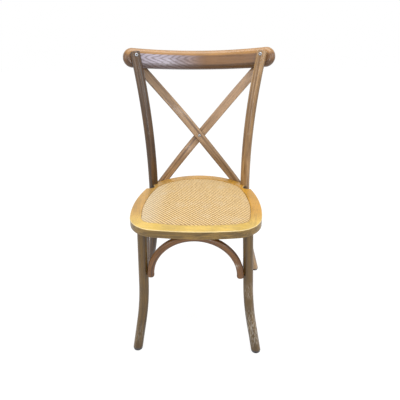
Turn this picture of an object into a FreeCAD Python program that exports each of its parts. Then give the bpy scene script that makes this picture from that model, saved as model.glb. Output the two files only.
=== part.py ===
import FreeCAD, Part
import math
import os
from FreeCAD import Vector

# All sizes are millimetres and degrees. X runs to the sitter's left hand side of the
# drawing, Y from the seat's front edge to the back, Z up from the floor.

# Seat frame
seat_width = 398.0
seat_depth = 399.0
seat_top_height = 457.0
seat_thickness = 26.0
seat_widest_from_front = 151.0
seat_front_corner_half = 180.0
seat_front_corner_from_front = 20.0
seat_front_corner_radius = 86.0
seat_rear_corner_half = 170.0
seat_rear_corner_from_back = 95.0
seat_rear_corner_radius = 100.0
seat_edge_rounding = 2.0
border_front = 36.2
border_side = 33.2
border_back = 29.3
opening_front_corner_border = 25.0
opening_front_corner_set_back = 34.5
opening_rear_corner_border = 31.0
opening_front_corner_radius = 35.0
opening_rear_corner_radius = 30.0
ledge_width = 16.0
ledge_thickness = 14.0
front_joint_angle = -39.4
rear_joint_angle = 63.0
tenon_thickness = 7.0
tenon_width = 22.0
tenon_length = 30.0

# Woven seat panel on its board
board_thickness = 9.0
board_clearance = 0.4
panel_edge_rounding = 1.2
cane_column_width = 13.2
cane_furrow_width = 3.0
cane_furrow_depth = 0.8

# Relief notch in front of each back post
notch_radius = 15.0
notch_centre_half = 166.0
notch_centre_from_front = 298.7
horn_tip_half = 157.0

# Back posts, each one bent bar from the floor to the top rail
post_diameter = 31.0
post_half_spacing = 159.4
post_from_front = 327.0
post_upright_above_seat = 48.0
post_upper_bend_radius = 970.0
post_lower_bend_radius = 881.0
post_upper_bend_direction = 33.0
post_lower_bend_direction = 27.6
post_foot_splay = 26.3
post_top_above_seat = 424.0
post_end_bevel = 1.5
post_housing_clearance = 0.2

# Front legs
front_leg_diameter = 30.0
front_leg_half_spacing = 151.8
front_leg_from_front = 42.9
front_leg_top_lean = 3.1
front_leg_foot_splay = 12.4
front_leg_bend_radius = 885.0
front_leg_bend_height = 176.0
front_leg_splay_direction = 126.0
leg_tenon_diameter = 22.0
leg_tenon_length = 16.0
leg_tenon_clearance = 0.1

# Top rail, bent to an arc and leaning with the posts
rail_height = 61.0
rail_depth = 35.0
rail_bend_radius = 570.0
rail_half_length = 243.5
rail_bolt_below_post_top = 9.5
rail_housing_depth = 2.0

# Crossed straps
strap_width = 30.0
strap_thickness = 10.0
strap_corner_radius = 3.5
strap_gap = 0.15
strap_foot_half = 139.7
strap_foot_below_seat_top = 15.0
strap_foot_lift = 2.0
strap_foot_back_slope = 0.6
strap_head_back_slope = 0.0
strap_foot_side_slope = 0.88
strap_head_side_slope = 0.88
strap_head_past_bolt = 17.0
strap_foot_trim = 11.0
strap_foot_trim_rise = 12.0
strap_stations = 11
crossing_ease = 150.0

# Bent arches under the seat
arch_thickness = 20.5
arch_depth = 20.5
arch_corner_radius = 9.0
front_arch_foot_run = 3.0
side_arch_foot_run = 32.0
rear_arch_foot_run = 8.0
arch_leg_clearance = 0.3
front_arch_set_forward = 10.0
side_arch_inset = 6.0
rear_arch_set_back = 6.0
arch_contact_below_seat = 141.0

# Fasteners
hole_clearance = 0.05
screw_head_radius = 3.8
screw_head_length = 2.4
screw_head_opening = 3.0
screw_shank_radius = 2.0
screw_tip_length = 4.0
arch_end_screw_length = 36.0
arch_end_screw_rise = 8.0
arch_crown_screw_length = 36.0
board_screw_length = 24.0
strap_screw_length = 30.0
lower_strap_screw = (3.0, -5.0)
upper_strap_screw = (-9.0, 6.0)
bolt_shank_radius = 3.0
rail_bolt_head_radius = 5.6
bolt_head_height = 3.6
bolt_head_sunk = 1.6
bolt_socket_flats = 4.0
bolt_socket_depth = 2.2
cross_bolt_head_radius = 5.0
washer_radius = 8.0
washer_thickness = 1.2
nut_flats = 10.0
nut_height = 5.0
post_bolt_length = 52.0
post_bolt_above_seat_underside = 7.5
post_bolt_direction = 54.4

# Feet
glide_height = 6.0
glide_radius = 14.5
glide_edge_rounding = 3.5
glide_pin_radius = 2.0
glide_pin_length = 18.0

seat_under = seat_top_height - seat_thickness
ledge_top = seat_under + ledge_thickness
post_upright_height = seat_top_height + post_upright_above_seat
post_top_height = seat_top_height + post_top_above_seat
rail_bolt_height = post_top_height - rail_bolt_below_post_top
strap_foot_height = seat_top_height - strap_foot_below_seat_top
post_bolt_height = seat_under + post_bolt_above_seat_underside
arch_contact_height = seat_under - arch_contact_below_seat
up = Vector(0, 0, 1)
margin = 40.0


def seat_outline():
    """Arcs of the seat's plan: front bow, sides and back, meeting at rounded corners."""
    return {
        "front": 0.0,
        "back": seat_depth,
        "wide": seat_width / 2,
        "wide_at": seat_widest_from_front,
        "front_corner": (seat_front_corner_half, seat_front_corner_from_front),
        "rear_corner": (seat_rear_corner_half, seat_depth - seat_rear_corner_from_back),
        "front_radius": seat_front_corner_radius,
        "rear_radius": seat_rear_corner_radius,
    }


def opening_outline():
    """Plan of the opening that the woven panel drops into."""
    seat = seat_outline()
    front_x, front_y = seat["front_corner"]
    rear_x, rear_y = seat["rear_corner"]
    return {
        "front": border_front,
        "back": seat_depth - border_back,
        "wide": seat_width / 2 - border_side,
        "wide_at": seat_widest_from_front,
        "front_corner": (front_x - opening_front_corner_border,
                         front_y + opening_front_corner_set_back),
        "rear_corner": (rear_x - opening_rear_corner_border, rear_y - 1.0),
        "front_radius": opening_front_corner_radius,
        "rear_radius": opening_rear_corner_radius,
    }


def inset(outline, distance):
    """The same plan drawn in by a distance on every side."""
    front_x, front_y = outline["front_corner"]
    rear_x, rear_y = outline["rear_corner"]
    return {
        "front": outline["front"] + distance,
        "back": outline["back"] - distance,
        "wide": outline["wide"] - distance,
        "wide_at": outline["wide_at"],
        "front_corner": (front_x - distance, front_y + distance),
        "rear_corner": (rear_x - distance, rear_y - distance / 2),
        "front_radius": outline["front_radius"] - distance / 2,
        "rear_radius": outline["rear_radius"] - distance / 2,
    }


def circle_through(a, b, c):
    """Centre and radius of the circle through three plan points."""
    d = 2 * (a[0] * (b[1] - c[1]) + b[0] * (c[1] - a[1]) + c[0] * (a[1] - b[1]))
    aa = a[0] ** 2 + a[1] ** 2
    bb = b[0] ** 2 + b[1] ** 2
    cc = c[0] ** 2 + c[1] ** 2
    x = (aa * (b[1] - c[1]) + bb * (c[1] - a[1]) + cc * (a[1] - b[1])) / d
    y = (aa * (c[0] - b[0]) + bb * (a[0] - c[0]) + cc * (b[0] - a[0])) / d
    return x, y, math.hypot(a[0] - x, a[1] - y)


def front_edge(outline, x):
    """Y of the front bow at a given X."""
    corner = outline["front_corner"]
    cx, cy, r = circle_through((-corner[0], corner[1]), (0, outline["front"]), corner)
    return cy - math.sqrt(r * r - x * x)


def back_edge(outline, x):
    """Y of the back arc at a given X, and the arc's centre."""
    corner = outline["rear_corner"]
    cx, cy, r = circle_through((-corner[0], corner[1]), (0, outline["back"]), corner)
    return cy + math.sqrt(r * r - x * x), cy


def plan_prism(outline, low, high):
    """Solid with the plan's rounded outline between two heights."""
    fx, fy = outline["front_corner"]
    rx, ry = outline["rear_corner"]
    wide = outline["wide"]
    at = outline["wide_at"]
    front = Part.Arc(Vector(-fx, fy, low), Vector(0, outline["front"], low), Vector(fx, fy, low))
    right = Part.Arc(Vector(fx, fy, low), Vector(wide, at, low), Vector(rx, ry, low))
    back = Part.Arc(Vector(rx, ry, low), Vector(0, outline["back"], low), Vector(-rx, ry, low))
    left = Part.Arc(Vector(-rx, ry, low), Vector(-wide, at, low), Vector(-fx, fy, low))
    wire = Part.Wire([arc.toShape() for arc in (front, right, back, left)])
    solid = Part.Face(wire).extrude(up * (high - low))
    for corner_y, radius in ((fy, outline["front_radius"]), (ry, outline["rear_radius"])):
        edges = [e for e in solid.Edges if upright_at(e, corner_y)]
        solid = solid.makeFillet(radius, edges)
    return solid


def upright_at(edge, y):
    """True for a vertical edge that stands at the given Y."""
    a = edge.Vertexes[0].Point
    b = edge.Vertexes[-1].Point
    return abs(a.x - b.x) < 1e-6 and abs(a.y - y) < 1e-6 and abs(a.z - b.z) > 1.0


def level_edges(solid, z):
    """Edges that lie in the horizontal plane at the given height."""
    return [e for e in solid.Edges if all(abs(v.Z - z) < 1e-6 for v in e.Vertexes)]


def rounded_section(centre, across, along, width, height, radius):
    """Wire of a rectangle with round corners, lying in the plane of two unit directions."""
    w = width / 2
    h = height / 2
    k = radius * (1 - math.sqrt(0.5))

    def at(x, y):
        return centre + across * x + along * y

    edges = []
    for sx, sy in ((1, 1), (-1, 1), (-1, -1), (1, -1)):
        side_start = at(sx * w, sy * (h - radius))
        side_end = at(sx * (w - radius), sy * h)
        middle = at(sx * (w - k), sy * (h - k))
        if sx * sy > 0:
            edges.append(Part.Arc(side_start, middle, side_end).toShape())
        else:
            edges.append(Part.Arc(side_end, middle, side_start).toShape())
    joined = []
    for i, edge in enumerate(edges):
        following = edges[(i + 1) % 4]
        joined.append(edge)
        gap_start = edge.Vertexes[-1].Point
        gap_end = following.Vertexes[0].Point
        joined.append(Part.LineSegment(gap_start, gap_end).toShape())
    return Part.Wire(joined)


def turned(origin, axis, steps):
    """Round piece along an axis from steps of (length, start radius, end radius)."""
    solid = None
    at = origin
    for length, r0, r1 in steps:
        if abs(r0 - r1) < 1e-9:
            piece = Part.makeCylinder(r0, length, at, axis)
        else:
            piece = Part.makeCone(r0, r1, length, at, axis)
        solid = piece if solid is None else solid.fuse(piece)
        at = at + axis * length
    return solid.removeSplitter()


def screw_steps(length, grow):
    """Countersunk head, shank and pointed end of a wood screw."""
    shank = length - screw_head_length - screw_tip_length
    return [
        (screw_head_length, screw_head_radius + grow, screw_shank_radius + grow),
        (shank, screw_shank_radius + grow, screw_shank_radius + grow),
        (screw_tip_length, screw_shank_radius + grow, screw_shank_radius * 0.2 + grow),
    ]


def hexagon(origin, axis, flats, height):
    """Six-sided prism along an axis."""
    helper = Vector(0, 0, 1) if abs(axis.z) < 0.9 else Vector(1, 0, 0)
    a = axis.cross(helper).normalize()
    b = axis.cross(a).normalize()
    r = flats / 2 / math.cos(math.pi / 6)
    points = []
    for i in range(7):
        turn = math.radians(60 * i)
        points.append(origin + a * (r * math.cos(turn)) + b * (r * math.sin(turn)))
    return Part.Face(Part.makePolygon(points)).extrude(axis * height)


def bolt_steps(head_radius, length, grow):
    """Low round head and plain shank of a furniture bolt."""
    return [
        (bolt_head_height, head_radius + grow, head_radius + grow),
        (length - bolt_head_height, bolt_shank_radius + grow, bolt_shank_radius + grow),
    ]


def bolt(origin, axis, head_radius, length):
    """Bolt with a hexagon socket; the origin is the outer face of its head."""
    solid = turned(origin, axis, bolt_steps(head_radius, length, 0.0))
    socket = hexagon(origin - axis, axis, bolt_socket_flats, bolt_socket_depth + 1.0)
    return solid.cut(socket)


def mirrored(shape):
    """The same shape on the other side of the chair's middle plane."""
    return shape.mirror(Vector(0, 0, 0), Vector(1, 0, 0))


def both_sides(shape):
    """The shape and its mirror image as one group of separate solids."""
    return Part.makeCompound([shape, mirrored(shape)])


def post_bends():
    """Directions and key values of the post's two bends."""
    upper = math.radians(post_upper_bend_direction)
    lower = math.radians(post_lower_bend_direction)
    out_up = Vector(math.sin(upper), math.cos(upper), 0)
    out_low = Vector(math.sin(lower), math.cos(lower), 0)
    upright = Vector(post_half_spacing, post_from_front, post_upright_height)
    return upright, out_up, out_low


def post_axis(z):
    """Point on the right post's centre line at a height."""
    upright, out_up, out_low = post_bends()
    rise = z - post_upright_height
    splay = math.radians(post_foot_splay)
    if rise >= 0:
        turn = math.asin(rise / post_upper_bend_radius)
        out = out_up * (post_upper_bend_radius * (1 - math.cos(turn)))
    elif -rise < post_lower_bend_radius * math.sin(splay):
        turn = math.asin(-rise / post_lower_bend_radius)
        out = out_low * (post_lower_bend_radius * (1 - math.cos(turn)))
    else:
        drop = -rise - post_lower_bend_radius * math.sin(splay)
        bend_out = post_lower_bend_radius * (1 - math.cos(splay))
        out = out_low * (bend_out + drop * math.tan(splay))
    return upright + out + up * rise


def post_path():
    """Centre line of the right post up to its bevel: straight foot, lower and upper bend."""
    knee = post_upright_height - post_lower_bend_radius * math.sin(math.radians(post_foot_splay))
    below = post_axis(-margin)
    middle_low = post_axis((knee + post_upright_height) / 2)
    middle_up = post_axis((post_upright_height + post_top_height) / 2)
    upright = post_axis(post_upright_height)
    edges = [
        Part.LineSegment(below, post_axis(knee)).toShape(),
        Part.Arc(post_axis(knee), middle_low, upright).toShape(),
        Part.Arc(upright, middle_up, post_axis(post_top_height)).toShape(),
    ]
    return Part.Wire(edges)


def leg_axis(z):
    """Point on the right front leg's centre line at a height below the seat."""
    turn = math.radians(front_leg_splay_direction)
    out = Vector(math.sin(turn), math.cos(turn), 0)
    lean = math.radians(front_leg_top_lean)
    splay = math.radians(front_leg_foot_splay)
    reach = front_leg_bend_radius * math.tan((splay - lean) / 2)
    start = front_leg_bend_height + reach * math.cos(lean)
    end = front_leg_bend_height - reach * math.cos(splay)
    knee_out = (seat_under - front_leg_bend_height) * math.tan(lean)
    if z >= start:
        away = (seat_under - z) * math.tan(lean)
    elif z <= end:
        away = knee_out + (front_leg_bend_height - z) * math.tan(splay)
    else:
        centre_z = start + front_leg_bend_radius * math.sin(lean)
        centre_out = (seat_under - start) * math.tan(lean)
        centre_out = centre_out - front_leg_bend_radius * math.cos(lean)
        centre_out = centre_out + 2 * front_leg_bend_radius * math.cos(lean)
        drop = centre_z - z
        away = centre_out - math.sqrt(front_leg_bend_radius ** 2 - drop ** 2)
    return Vector(front_leg_half_spacing, front_leg_from_front, z) + out * away


def leg_bend_heights():
    """Heights where the front leg's bend starts and ends."""
    lean = math.radians(front_leg_top_lean)
    splay = math.radians(front_leg_foot_splay)
    reach = front_leg_bend_radius * math.tan((splay - lean) / 2)
    start = front_leg_bend_height + reach * math.cos(lean)
    return start, front_leg_bend_height - reach * math.cos(splay)


def leg_path():
    """Centre line of the right front leg, past both of its ends."""
    start, end = leg_bend_heights()
    edges = [
        Part.LineSegment(leg_axis(-margin), leg_axis(end)).toShape(),
        Part.Arc(leg_axis(end), leg_axis((start + end) / 2), leg_axis(start)).toShape(),
        Part.LineSegment(leg_axis(start), leg_axis(seat_under + margin)).toShape(),
    ]
    return Part.Wire(edges)


def round_bar(path, radius):
    """Round bar of a given radius along a centre line of straight runs and bends."""
    bar = None
    for edge in path.Edges:
        start = edge.valueAt(edge.FirstParameter)
        heading = edge.tangentAt(edge.FirstParameter)
        if isinstance(edge.Curve, Part.Circle):
            disc = Part.Face(Part.Wire(Part.makeCircle(radius, start, heading)))
            turn = math.degrees(edge.LastParameter - edge.FirstParameter)
            piece = disc.revolve(edge.Curve.Center, edge.Curve.Axis, turn)
        else:
            piece = Part.makeCylinder(radius, edge.Length, start, heading)
        bar = piece if bar is None else bar.fuse(piece)
    return bar.removeSplitter()


def slab(low, high):
    """Wide block between two heights, for cutting bars off level."""
    size = 4 * seat_depth
    return Part.makeBox(size, size, high - low, Vector(-size / 2, -size / 2, low))


def make_post():
    """Right post, cut level above its glide and bevelled at its top end."""
    path = post_path()
    bar = round_bar(path, post_diameter / 2).common(slab(glide_height, 2 * post_top_height))
    last = path.Edges[-1]
    heading = last.tangentAt(last.LastParameter)
    top = last.valueAt(last.LastParameter)
    bevel = Part.makeCone(post_diameter / 2, post_diameter / 2 - post_end_bevel,
                          post_end_bevel, top, heading)
    return bar.fuse(bevel)


def make_front_leg():
    """Right front leg, cut level at both ends, with a round tenon up into the seat."""
    bar = round_bar(leg_path(), front_leg_diameter / 2)
    bar = bar.common(slab(glide_height, seat_under))
    top = leg_axis(seat_under)
    root = top - up * 2
    tenon = Part.makeCylinder(leg_tenon_diameter / 2, leg_tenon_length + 2, root, up)
    return bar.fuse(tenon).removeSplitter()


def rail_lean():
    """Backward lean of the rail, taken from the post at the rail bolt."""
    step = 1.0
    a = post_axis(rail_bolt_height - step)
    b = post_axis(rail_bolt_height + step)
    return math.atan2(b.y - a.y, b.z - a.z)


def rail_frame():
    """Arc centre of the rail with its sideways, backward and upward directions."""
    lean = rail_lean()
    back = Vector(0, math.cos(lean), -math.sin(lean))
    rise = Vector(0, math.sin(lean), math.cos(lean))
    post = post_axis(rail_bolt_height)
    reach = rail_bend_radius - rail_post_distance()
    turn = math.asin(post.x / reach)
    centre = Vector(0, post.y, post.z) - back * (reach * math.cos(turn))
    return centre, back, rise, turn


def rail_post_distance():
    """Distance from the post's axis back to the rail's centre line."""
    return post_diameter / 2 - rail_housing_depth + rail_depth / 2


def rail_point(turn, radius):
    """Point at an angle from the chair's middle, on an arc about the rail's centre."""
    centre, back, rise, bolt_turn = rail_frame()
    return centre + Vector(1, 0, 0) * (radius * math.sin(turn)) + back * (radius * math.cos(turn))


def rail_end_turn():
    """Angle where the straight section ends and the rounded end begins."""
    turn = 0.1
    for _ in range(30):
        reach = rail_bend_radius * math.sin(turn) + rail_height / 2 * math.cos(turn)
        turn = turn + (rail_half_length - reach) / rail_bend_radius
    return turn


def rail_section(turn):
    """Upright rounded section of the rail at an angle from the middle."""
    centre, back, rise, bolt_turn = rail_frame()
    out = Vector(1, 0, 0) * math.sin(turn) + back * math.cos(turn)
    at = rail_point(turn, rail_bend_radius)
    return rounded_section(at, out, rise, rail_depth, rail_height, rail_depth / 2 - 0.5)


def make_rail():
    """Bent top rail with round ends."""
    centre, back, rise, bolt_turn = rail_frame()
    end = rail_end_turn()
    body = Part.Face(rail_section(end)).revolve(centre, rise, math.degrees(2 * end))
    for side in (-1, 1):
        at = rail_point(side * end, rail_bend_radius)
        out = Vector(1, 0, 0) * math.sin(side * end) + back * math.cos(end)
        size = rail_height
        corner = at - out * size
        upper = Part.Face(Part.makePolygon([
            corner, corner + out * (2 * size), corner + out * (2 * size) + rise * size,
            corner + rise * size, corner]))
        half = Part.Face(rail_section(side * end)).common(upper)
        body = body.fuse(half.revolve(at, out, 180 * side))
    return body.removeSplitter()


def hermite(s, length, start, end, start_slope, end_slope):
    """Value of the cubic with given ends and end slopes at share s of a length."""
    a = 2 * s ** 3 - 3 * s ** 2 + 1
    b = s ** 3 - 2 * s ** 2 + s
    c = -2 * s ** 3 + 3 * s ** 2
    d = s ** 3 - s ** 2
    return a * start + b * length * start_slope + c * end + d * length * end_slope


def strap_head():
    """Centre of the strap's head, flat on the back of the rail at the rail bolt."""
    centre, back, rise, turn = rail_frame()
    return rail_point(turn, rail_bend_radius + rail_depth / 2 + strap_gap + strap_thickness / 2)


def rail_normal():
    """Backward direction square to the rail at the right bolt."""
    centre, back, rise, turn = rail_frame()
    return Vector(1, 0, 0) * math.sin(turn) + back * math.cos(turn)


def strap_foot():
    """Centre of the strap's foot and the outward direction there, on the right side."""
    outline = seat_outline()
    reach = strap_gap + strap_thickness / 2
    edge, centre_y = back_edge(outline, 0.0)
    radius = edge - centre_y
    x = strap_foot_half
    y = centre_y + math.sqrt((radius + reach) ** 2 - x * x)
    normal = Vector(x, y - centre_y, 0).normalize()
    return Vector(x, y, strap_foot_height), normal


def strap_line(z):
    """Centre line of the strap that rises from the left foot to the right head."""
    foot, normal = strap_foot()
    head = strap_head()
    length = head.z - foot.z
    s = (z - foot.z) / length
    x = hermite(s, length, -foot.x, head.x, strap_foot_side_slope, strap_head_side_slope)
    y = hermite(s, length, foot.y, head.y, strap_foot_back_slope, strap_head_back_slope)
    return Vector(x, y, z)


def crossing_height():
    """Height where the strap passes the middle of the chair."""
    low = strap_foot_height
    high = rail_bolt_height
    for _ in range(50):
        middle = (low + high) / 2
        if strap_line(middle).x < 0:
            low = middle
        else:
            high = middle
    return middle


def crossing_normal():
    """Backward direction square to both straps where they cross."""
    z = crossing_height()
    slope = (strap_line(z + 1).y - strap_line(z - 1).y) / 2
    return Vector(0, 1, -slope).normalize()


def strap_face(z):
    """Backward face direction of the strap, turning from foot to crossing to head."""
    foot, foot_normal = strap_foot()
    foot_normal = Vector(-foot_normal.x, foot_normal.y, 0)
    head = strap_head()
    middle = crossing_height()
    u = (z - foot.z) / (head.z - foot.z)
    m = (middle - foot.z) / (head.z - foot.z)
    wanted = foot_normal * ((u - m) * (u - 1) / m)
    wanted = wanted + crossing_normal() * (u * (u - 1) / (m * (m - 1)))
    wanted = wanted + rail_normal() * (u * (u - m) / (1 - m))
    tangent = (strap_line(z + 1) - strap_line(z - 1)).normalize()
    wanted = wanted - tangent * wanted.dot(tangent)
    return wanted.normalize(), tangent


def make_strap(side):
    """One strap; side is -1 for the one in front at the crossing, 1 for the one behind."""
    head = strap_head()
    foot, foot_normal = strap_foot()
    low = seat_under - 8.0
    high = head.z + strap_width
    sections = []
    for i in range(strap_stations):
        z = low + (high - low) * i / (strap_stations - 1)
        face, tangent = strap_face(z)
        away = min(abs(z - crossing_height()) / crossing_ease, 1.0)
        shift = (strap_thickness / 2 + strap_gap) * (1 + math.cos(math.pi * away)) / 2
        at = strap_line(z) + face * (shift * side)
        across = tangent.cross(face)
        sections.append(rounded_section(at, across, face, strap_width, strap_thickness,
                                        strap_corner_radius))
    strap = Part.makeLoft(sections, True, False)
    strap = strap.common(slab(seat_under + strap_foot_lift, head.z + 2 * margin))
    return strap.cut(foot_trim_block()).cut(head_trim_block())


def head_trim_block():
    """Block that rounds off the strap's head about its bolt."""
    head = strap_head()
    face, tangent = strap_face(head.z)
    across = tangent.cross(face)
    size = strap_width
    corner = head - across * size - face * size
    base = Part.makePolygon([corner, corner + across * (2 * size), corner + across * (2 * size)
                             + face * (2 * size), corner + face * (2 * size), corner])
    block = Part.Face(base).extrude(tangent * (2 * size))
    keep = Part.makeCylinder(strap_head_past_bolt, 4 * size, head - face * (2 * size), face)
    return block.cut(keep)


def foot_trim_block():
    """Block that squares off the strap's foot beside the left post."""
    foot, normal = strap_foot()
    along = Vector(normal.y, -normal.x, 0)
    size = 3 * strap_width
    corner = foot + along * strap_foot_trim - normal * size
    corner.z = seat_under - margin
    base = Part.makePolygon([corner, corner + along * size, corner + along * size
                             + normal * (2 * size), corner + normal * (2 * size), corner])
    block = Part.Face(base).extrude(up * (margin + seat_thickness + strap_foot_trim_rise))
    return mirrored(block)


def arch(origin, direction, start_axis, start_radius, end_axis, end_radius, foot_run):
    """Bent arch in an upright plane, tangent to two legs and to the seat's underside.

    The axes are functions of height giving the legs' centre lines. Its outer circle touches
    both legs and the seat; straight feet run on along each leg, to below its centre.
    """
    def along(axis, z):
        return (axis(z) - origin).dot(direction)

    zr = arch_contact_height
    step = 5.0
    a1 = along(start_axis, zr)
    b1 = (along(start_axis, zr + step) - along(start_axis, zr - step)) / (2 * step)
    a2 = along(end_axis, zr)
    b2 = (along(end_axis, zr + step) - along(end_axis, zr - step)) / (2 * step)
    s1 = math.hypot(1, b1)
    s2 = math.hypot(1, b2)
    top = seat_under
    free = a2 - a1 + (b2 - b1) * (top - zr)
    free = free - (end_radius + arch_leg_clearance) * s2
    free = free - (start_radius + arch_leg_clearance) * s1
    radius = free / (s1 + s2 + b2 - b1)
    centre_z = top - radius
    centre_u = a1 + b1 * (centre_z - zr) + (radius + start_radius + arch_leg_clearance) * s1
    middle_radius = radius - arch_thickness / 2

    def at(u, z):
        return Vector(origin.x, origin.y, 0) + direction * u + up * z

    n1 = (-1 / s1, b1 / s1)
    n2 = (1 / s2, -b2 / s2)
    p1 = (centre_u + n1[0] * middle_radius, centre_z + n1[1] * middle_radius)
    p2 = (centre_u + n2[0] * middle_radius, centre_z + n2[1] * middle_radius)
    foot_z = centre_z - foot_run
    foot1 = (p1[0] - b1 * (p1[1] - foot_z), foot_z)
    foot2 = (p2[0] - b2 * (p2[1] - foot_z), foot_z)
    outward = direction * n1[0] + up * n1[1]
    sideways = direction.cross(up)
    section = Part.Face(rounded_section(at(*p1), outward, sideways, arch_thickness, arch_depth,
                                        arch_corner_radius))
    sweep = math.degrees(math.acos(n1[0] * n2[0] + n1[1] * n2[1]))
    bow = section.revolve(at(centre_u, centre_z), direction.cross(up), -sweep)
    start = section.extrude(at(*foot1) - at(*p1))
    far_section = Part.Face(rounded_section(at(*p2), direction * n2[0] + up * n2[1], sideways,
                                            arch_thickness, arch_depth, arch_corner_radius))
    end = far_section.extrude(at(*foot2) - at(*p2))
    solid = bow.fuse(start).fuse(end).removeSplitter()
    places = {
        "start": (at(*foot1), direction * n1[0] + up * n1[1], direction * (b1 / s1) + up * (1 / s1)),
        "end": (at(*foot2), direction * n2[0] + up * n2[1], direction * (b2 / s2) + up * (1 / s2)),
        "crown": at(centre_u, top - arch_thickness),
    }
    return solid, places


def beside(radius, offset):
    """Distance at which an arch touches a round leg whose axis lies off the arch's plane."""
    miss = max(offset - (arch_depth / 2 - arch_corner_radius), 0.0)
    return math.sqrt((radius + arch_corner_radius) ** 2 - miss ** 2) - arch_corner_radius


def front_arch():
    """Arch between the front legs, a little in front of their axes."""
    y = leg_axis(arch_contact_height).y - front_arch_set_forward
    reach = beside(front_leg_diameter / 2, front_arch_set_forward)
    return arch(Vector(0, y, 0), Vector(1, 0, 0), lambda z: mirror_point(leg_axis(z)),
                reach, leg_axis, reach, front_arch_foot_run)


def rear_arch():
    """Arch between the back posts, set back under the rear of the seat frame."""
    y = post_axis(arch_contact_height).y + rear_arch_set_back
    return arch(Vector(0, y, 0), Vector(1, 0, 0), lambda z: mirror_point(post_axis(z)),
                post_diameter / 2, post_axis, post_diameter / 2, rear_arch_foot_run)


def side_arch():
    """Right arch from the front leg to the back post, set a little inside their axes."""
    inward = Vector(-side_arch_inset, 0, 0)
    a = leg_axis(arch_contact_height) + inward
    b = post_axis(arch_contact_height) + inward
    direction = Vector(b.x - a.x, b.y - a.y, 0).normalize()
    return arch(a, direction, leg_axis, front_leg_diameter / 2, post_axis, post_diameter / 2,
                side_arch_foot_run)


def mirror_point(point):
    """The point on the other side of the middle plane."""
    return Vector(-point.x, point.y, point.z)


def sector(start_angle, end_angle):
    """Tall wedge about the seat's middle, for dividing the seat frame at its joints."""
    hub = Vector(0, joint_hub(), seat_under - margin)
    reach = 2 * seat_depth
    points = [hub]
    for angle in (start_angle, end_angle):
        turn = math.radians(angle)
        points.append(hub + Vector(math.cos(turn) * reach, math.sin(turn) * reach, 0))
    points.append(hub)
    return Part.Face(Part.makePolygon(points)).extrude(up * (seat_thickness + 2 * margin))


def joint_hub():
    """Y of the point that the frame's joint lines run through."""
    return seat_depth * 0.44


def seat_ring():
    """Seat frame as one ring with its ledge, notches and post coves."""
    outer = plan_prism(seat_outline(), seat_under, seat_top_height)
    rims = level_edges(outer, seat_top_height) + level_edges(outer, seat_under)
    outer = outer.makeFillet(seat_edge_rounding, rims)
    opening = plan_prism(opening_outline(), ledge_top, seat_top_height + margin)
    through = plan_prism(inset(opening_outline(), ledge_width), seat_under - margin, ledge_top)
    ring = outer.cut(opening).cut(through)
    cove = round_bar(post_path(), post_diameter / 2 + post_housing_clearance)
    for tool in (notch_tool(), cove):
        ring = ring.cut(tool).cut(mirrored(tool))
    return ring


def notch_tool():
    """Cutter of the relief notch in front of the right post."""
    low = seat_under - margin
    tall = seat_thickness + 2 * margin
    centre = Vector(notch_centre_half, notch_centre_from_front, low)
    round_part = Part.makeCylinder(notch_radius, tall, centre, up)
    reach = seat_width
    front = notch_centre_from_front - notch_radius
    outer_box = Part.makeBox(reach, post_from_front - front, tall,
                             Vector(notch_centre_half, front, low))
    tip_box = Part.makeBox(notch_centre_half - horn_tip_half,
                           post_from_front - notch_centre_from_front, tall,
                           Vector(horn_tip_half, notch_centre_from_front, low))
    return round_part.fuse(outer_box).fuse(tip_box)


def joint_tenon(angle, grow):
    """Loose tenon across one frame joint, below the rabbet."""
    turn = math.radians(angle)
    out = Vector(math.cos(turn), math.sin(turn), 0)
    across = Vector(-math.sin(turn), math.cos(turn), 0)
    hub = Vector(0, joint_hub(), 0)
    probe = Part.LineSegment(hub, hub + out * (2 * seat_depth)).toShape()
    probe.translate(up * (seat_under + ledge_thickness / 2))
    band = probe.common(joint_band())
    points = [v.Point for v in band.Vertexes]
    middle = (points[0] + points[-1]) * 0.5
    length = tenon_length / 2 + grow
    width = tenon_width / 2 + grow
    thick = tenon_thickness / 2 + grow
    corner = middle - across * length - out * width - up * thick
    base = Part.makePolygon([corner, corner + across * (2 * length),
                             corner + across * (2 * length) + out * (2 * width),
                             corner + out * (2 * width), corner])
    return Part.Face(base).extrude(up * (2 * thick))


def joint_band():
    """Plain ring that shows how wide the frame is at a joint."""
    outer = plan_prism(seat_outline(), seat_under, ledge_top)
    return outer.cut(plan_prism(inset(opening_outline(), ledge_width), seat_under, ledge_top))


def make_seat_frame(parts):
    """Four frame rails: leg tenons bridge the front joints, loose tenons the rear ones."""
    ring = seat_ring()
    tenon = joint_tenon(rear_joint_angle, 0.0)
    slot = joint_tenon(rear_joint_angle, hole_clearance)
    ring = ring.cut(slot).cut(mirrored(slot))
    parts["seat_side_rail_right"] = ring.common(sector(front_joint_angle, rear_joint_angle))
    parts["seat_side_rail_left"] = mirrored(parts["seat_side_rail_right"])
    parts["seat_rear_rail"] = ring.common(sector(rear_joint_angle, 180 - rear_joint_angle))
    parts["seat_front_rail"] = ring.common(sector(-180 - front_joint_angle, front_joint_angle))
    parts["seat_frame_tenons"] = both_sides(tenon)


def make_seat_panel(parts):
    """Woven panel on its board, both dropped into the frame."""
    plan = inset(opening_outline(), board_clearance)
    board_top = ledge_top + board_thickness
    parts["seat_board"] = plan_prism(plan, ledge_top, board_top)
    panel = plan_prism(plan, board_top, seat_top_height)
    rim = level_edges(panel, seat_top_height)
    panel = panel.makeFillet(panel_edge_rounding, rim)
    parts["woven_cane_panel"] = panel.cut(cane_furrows(plan))


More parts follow.
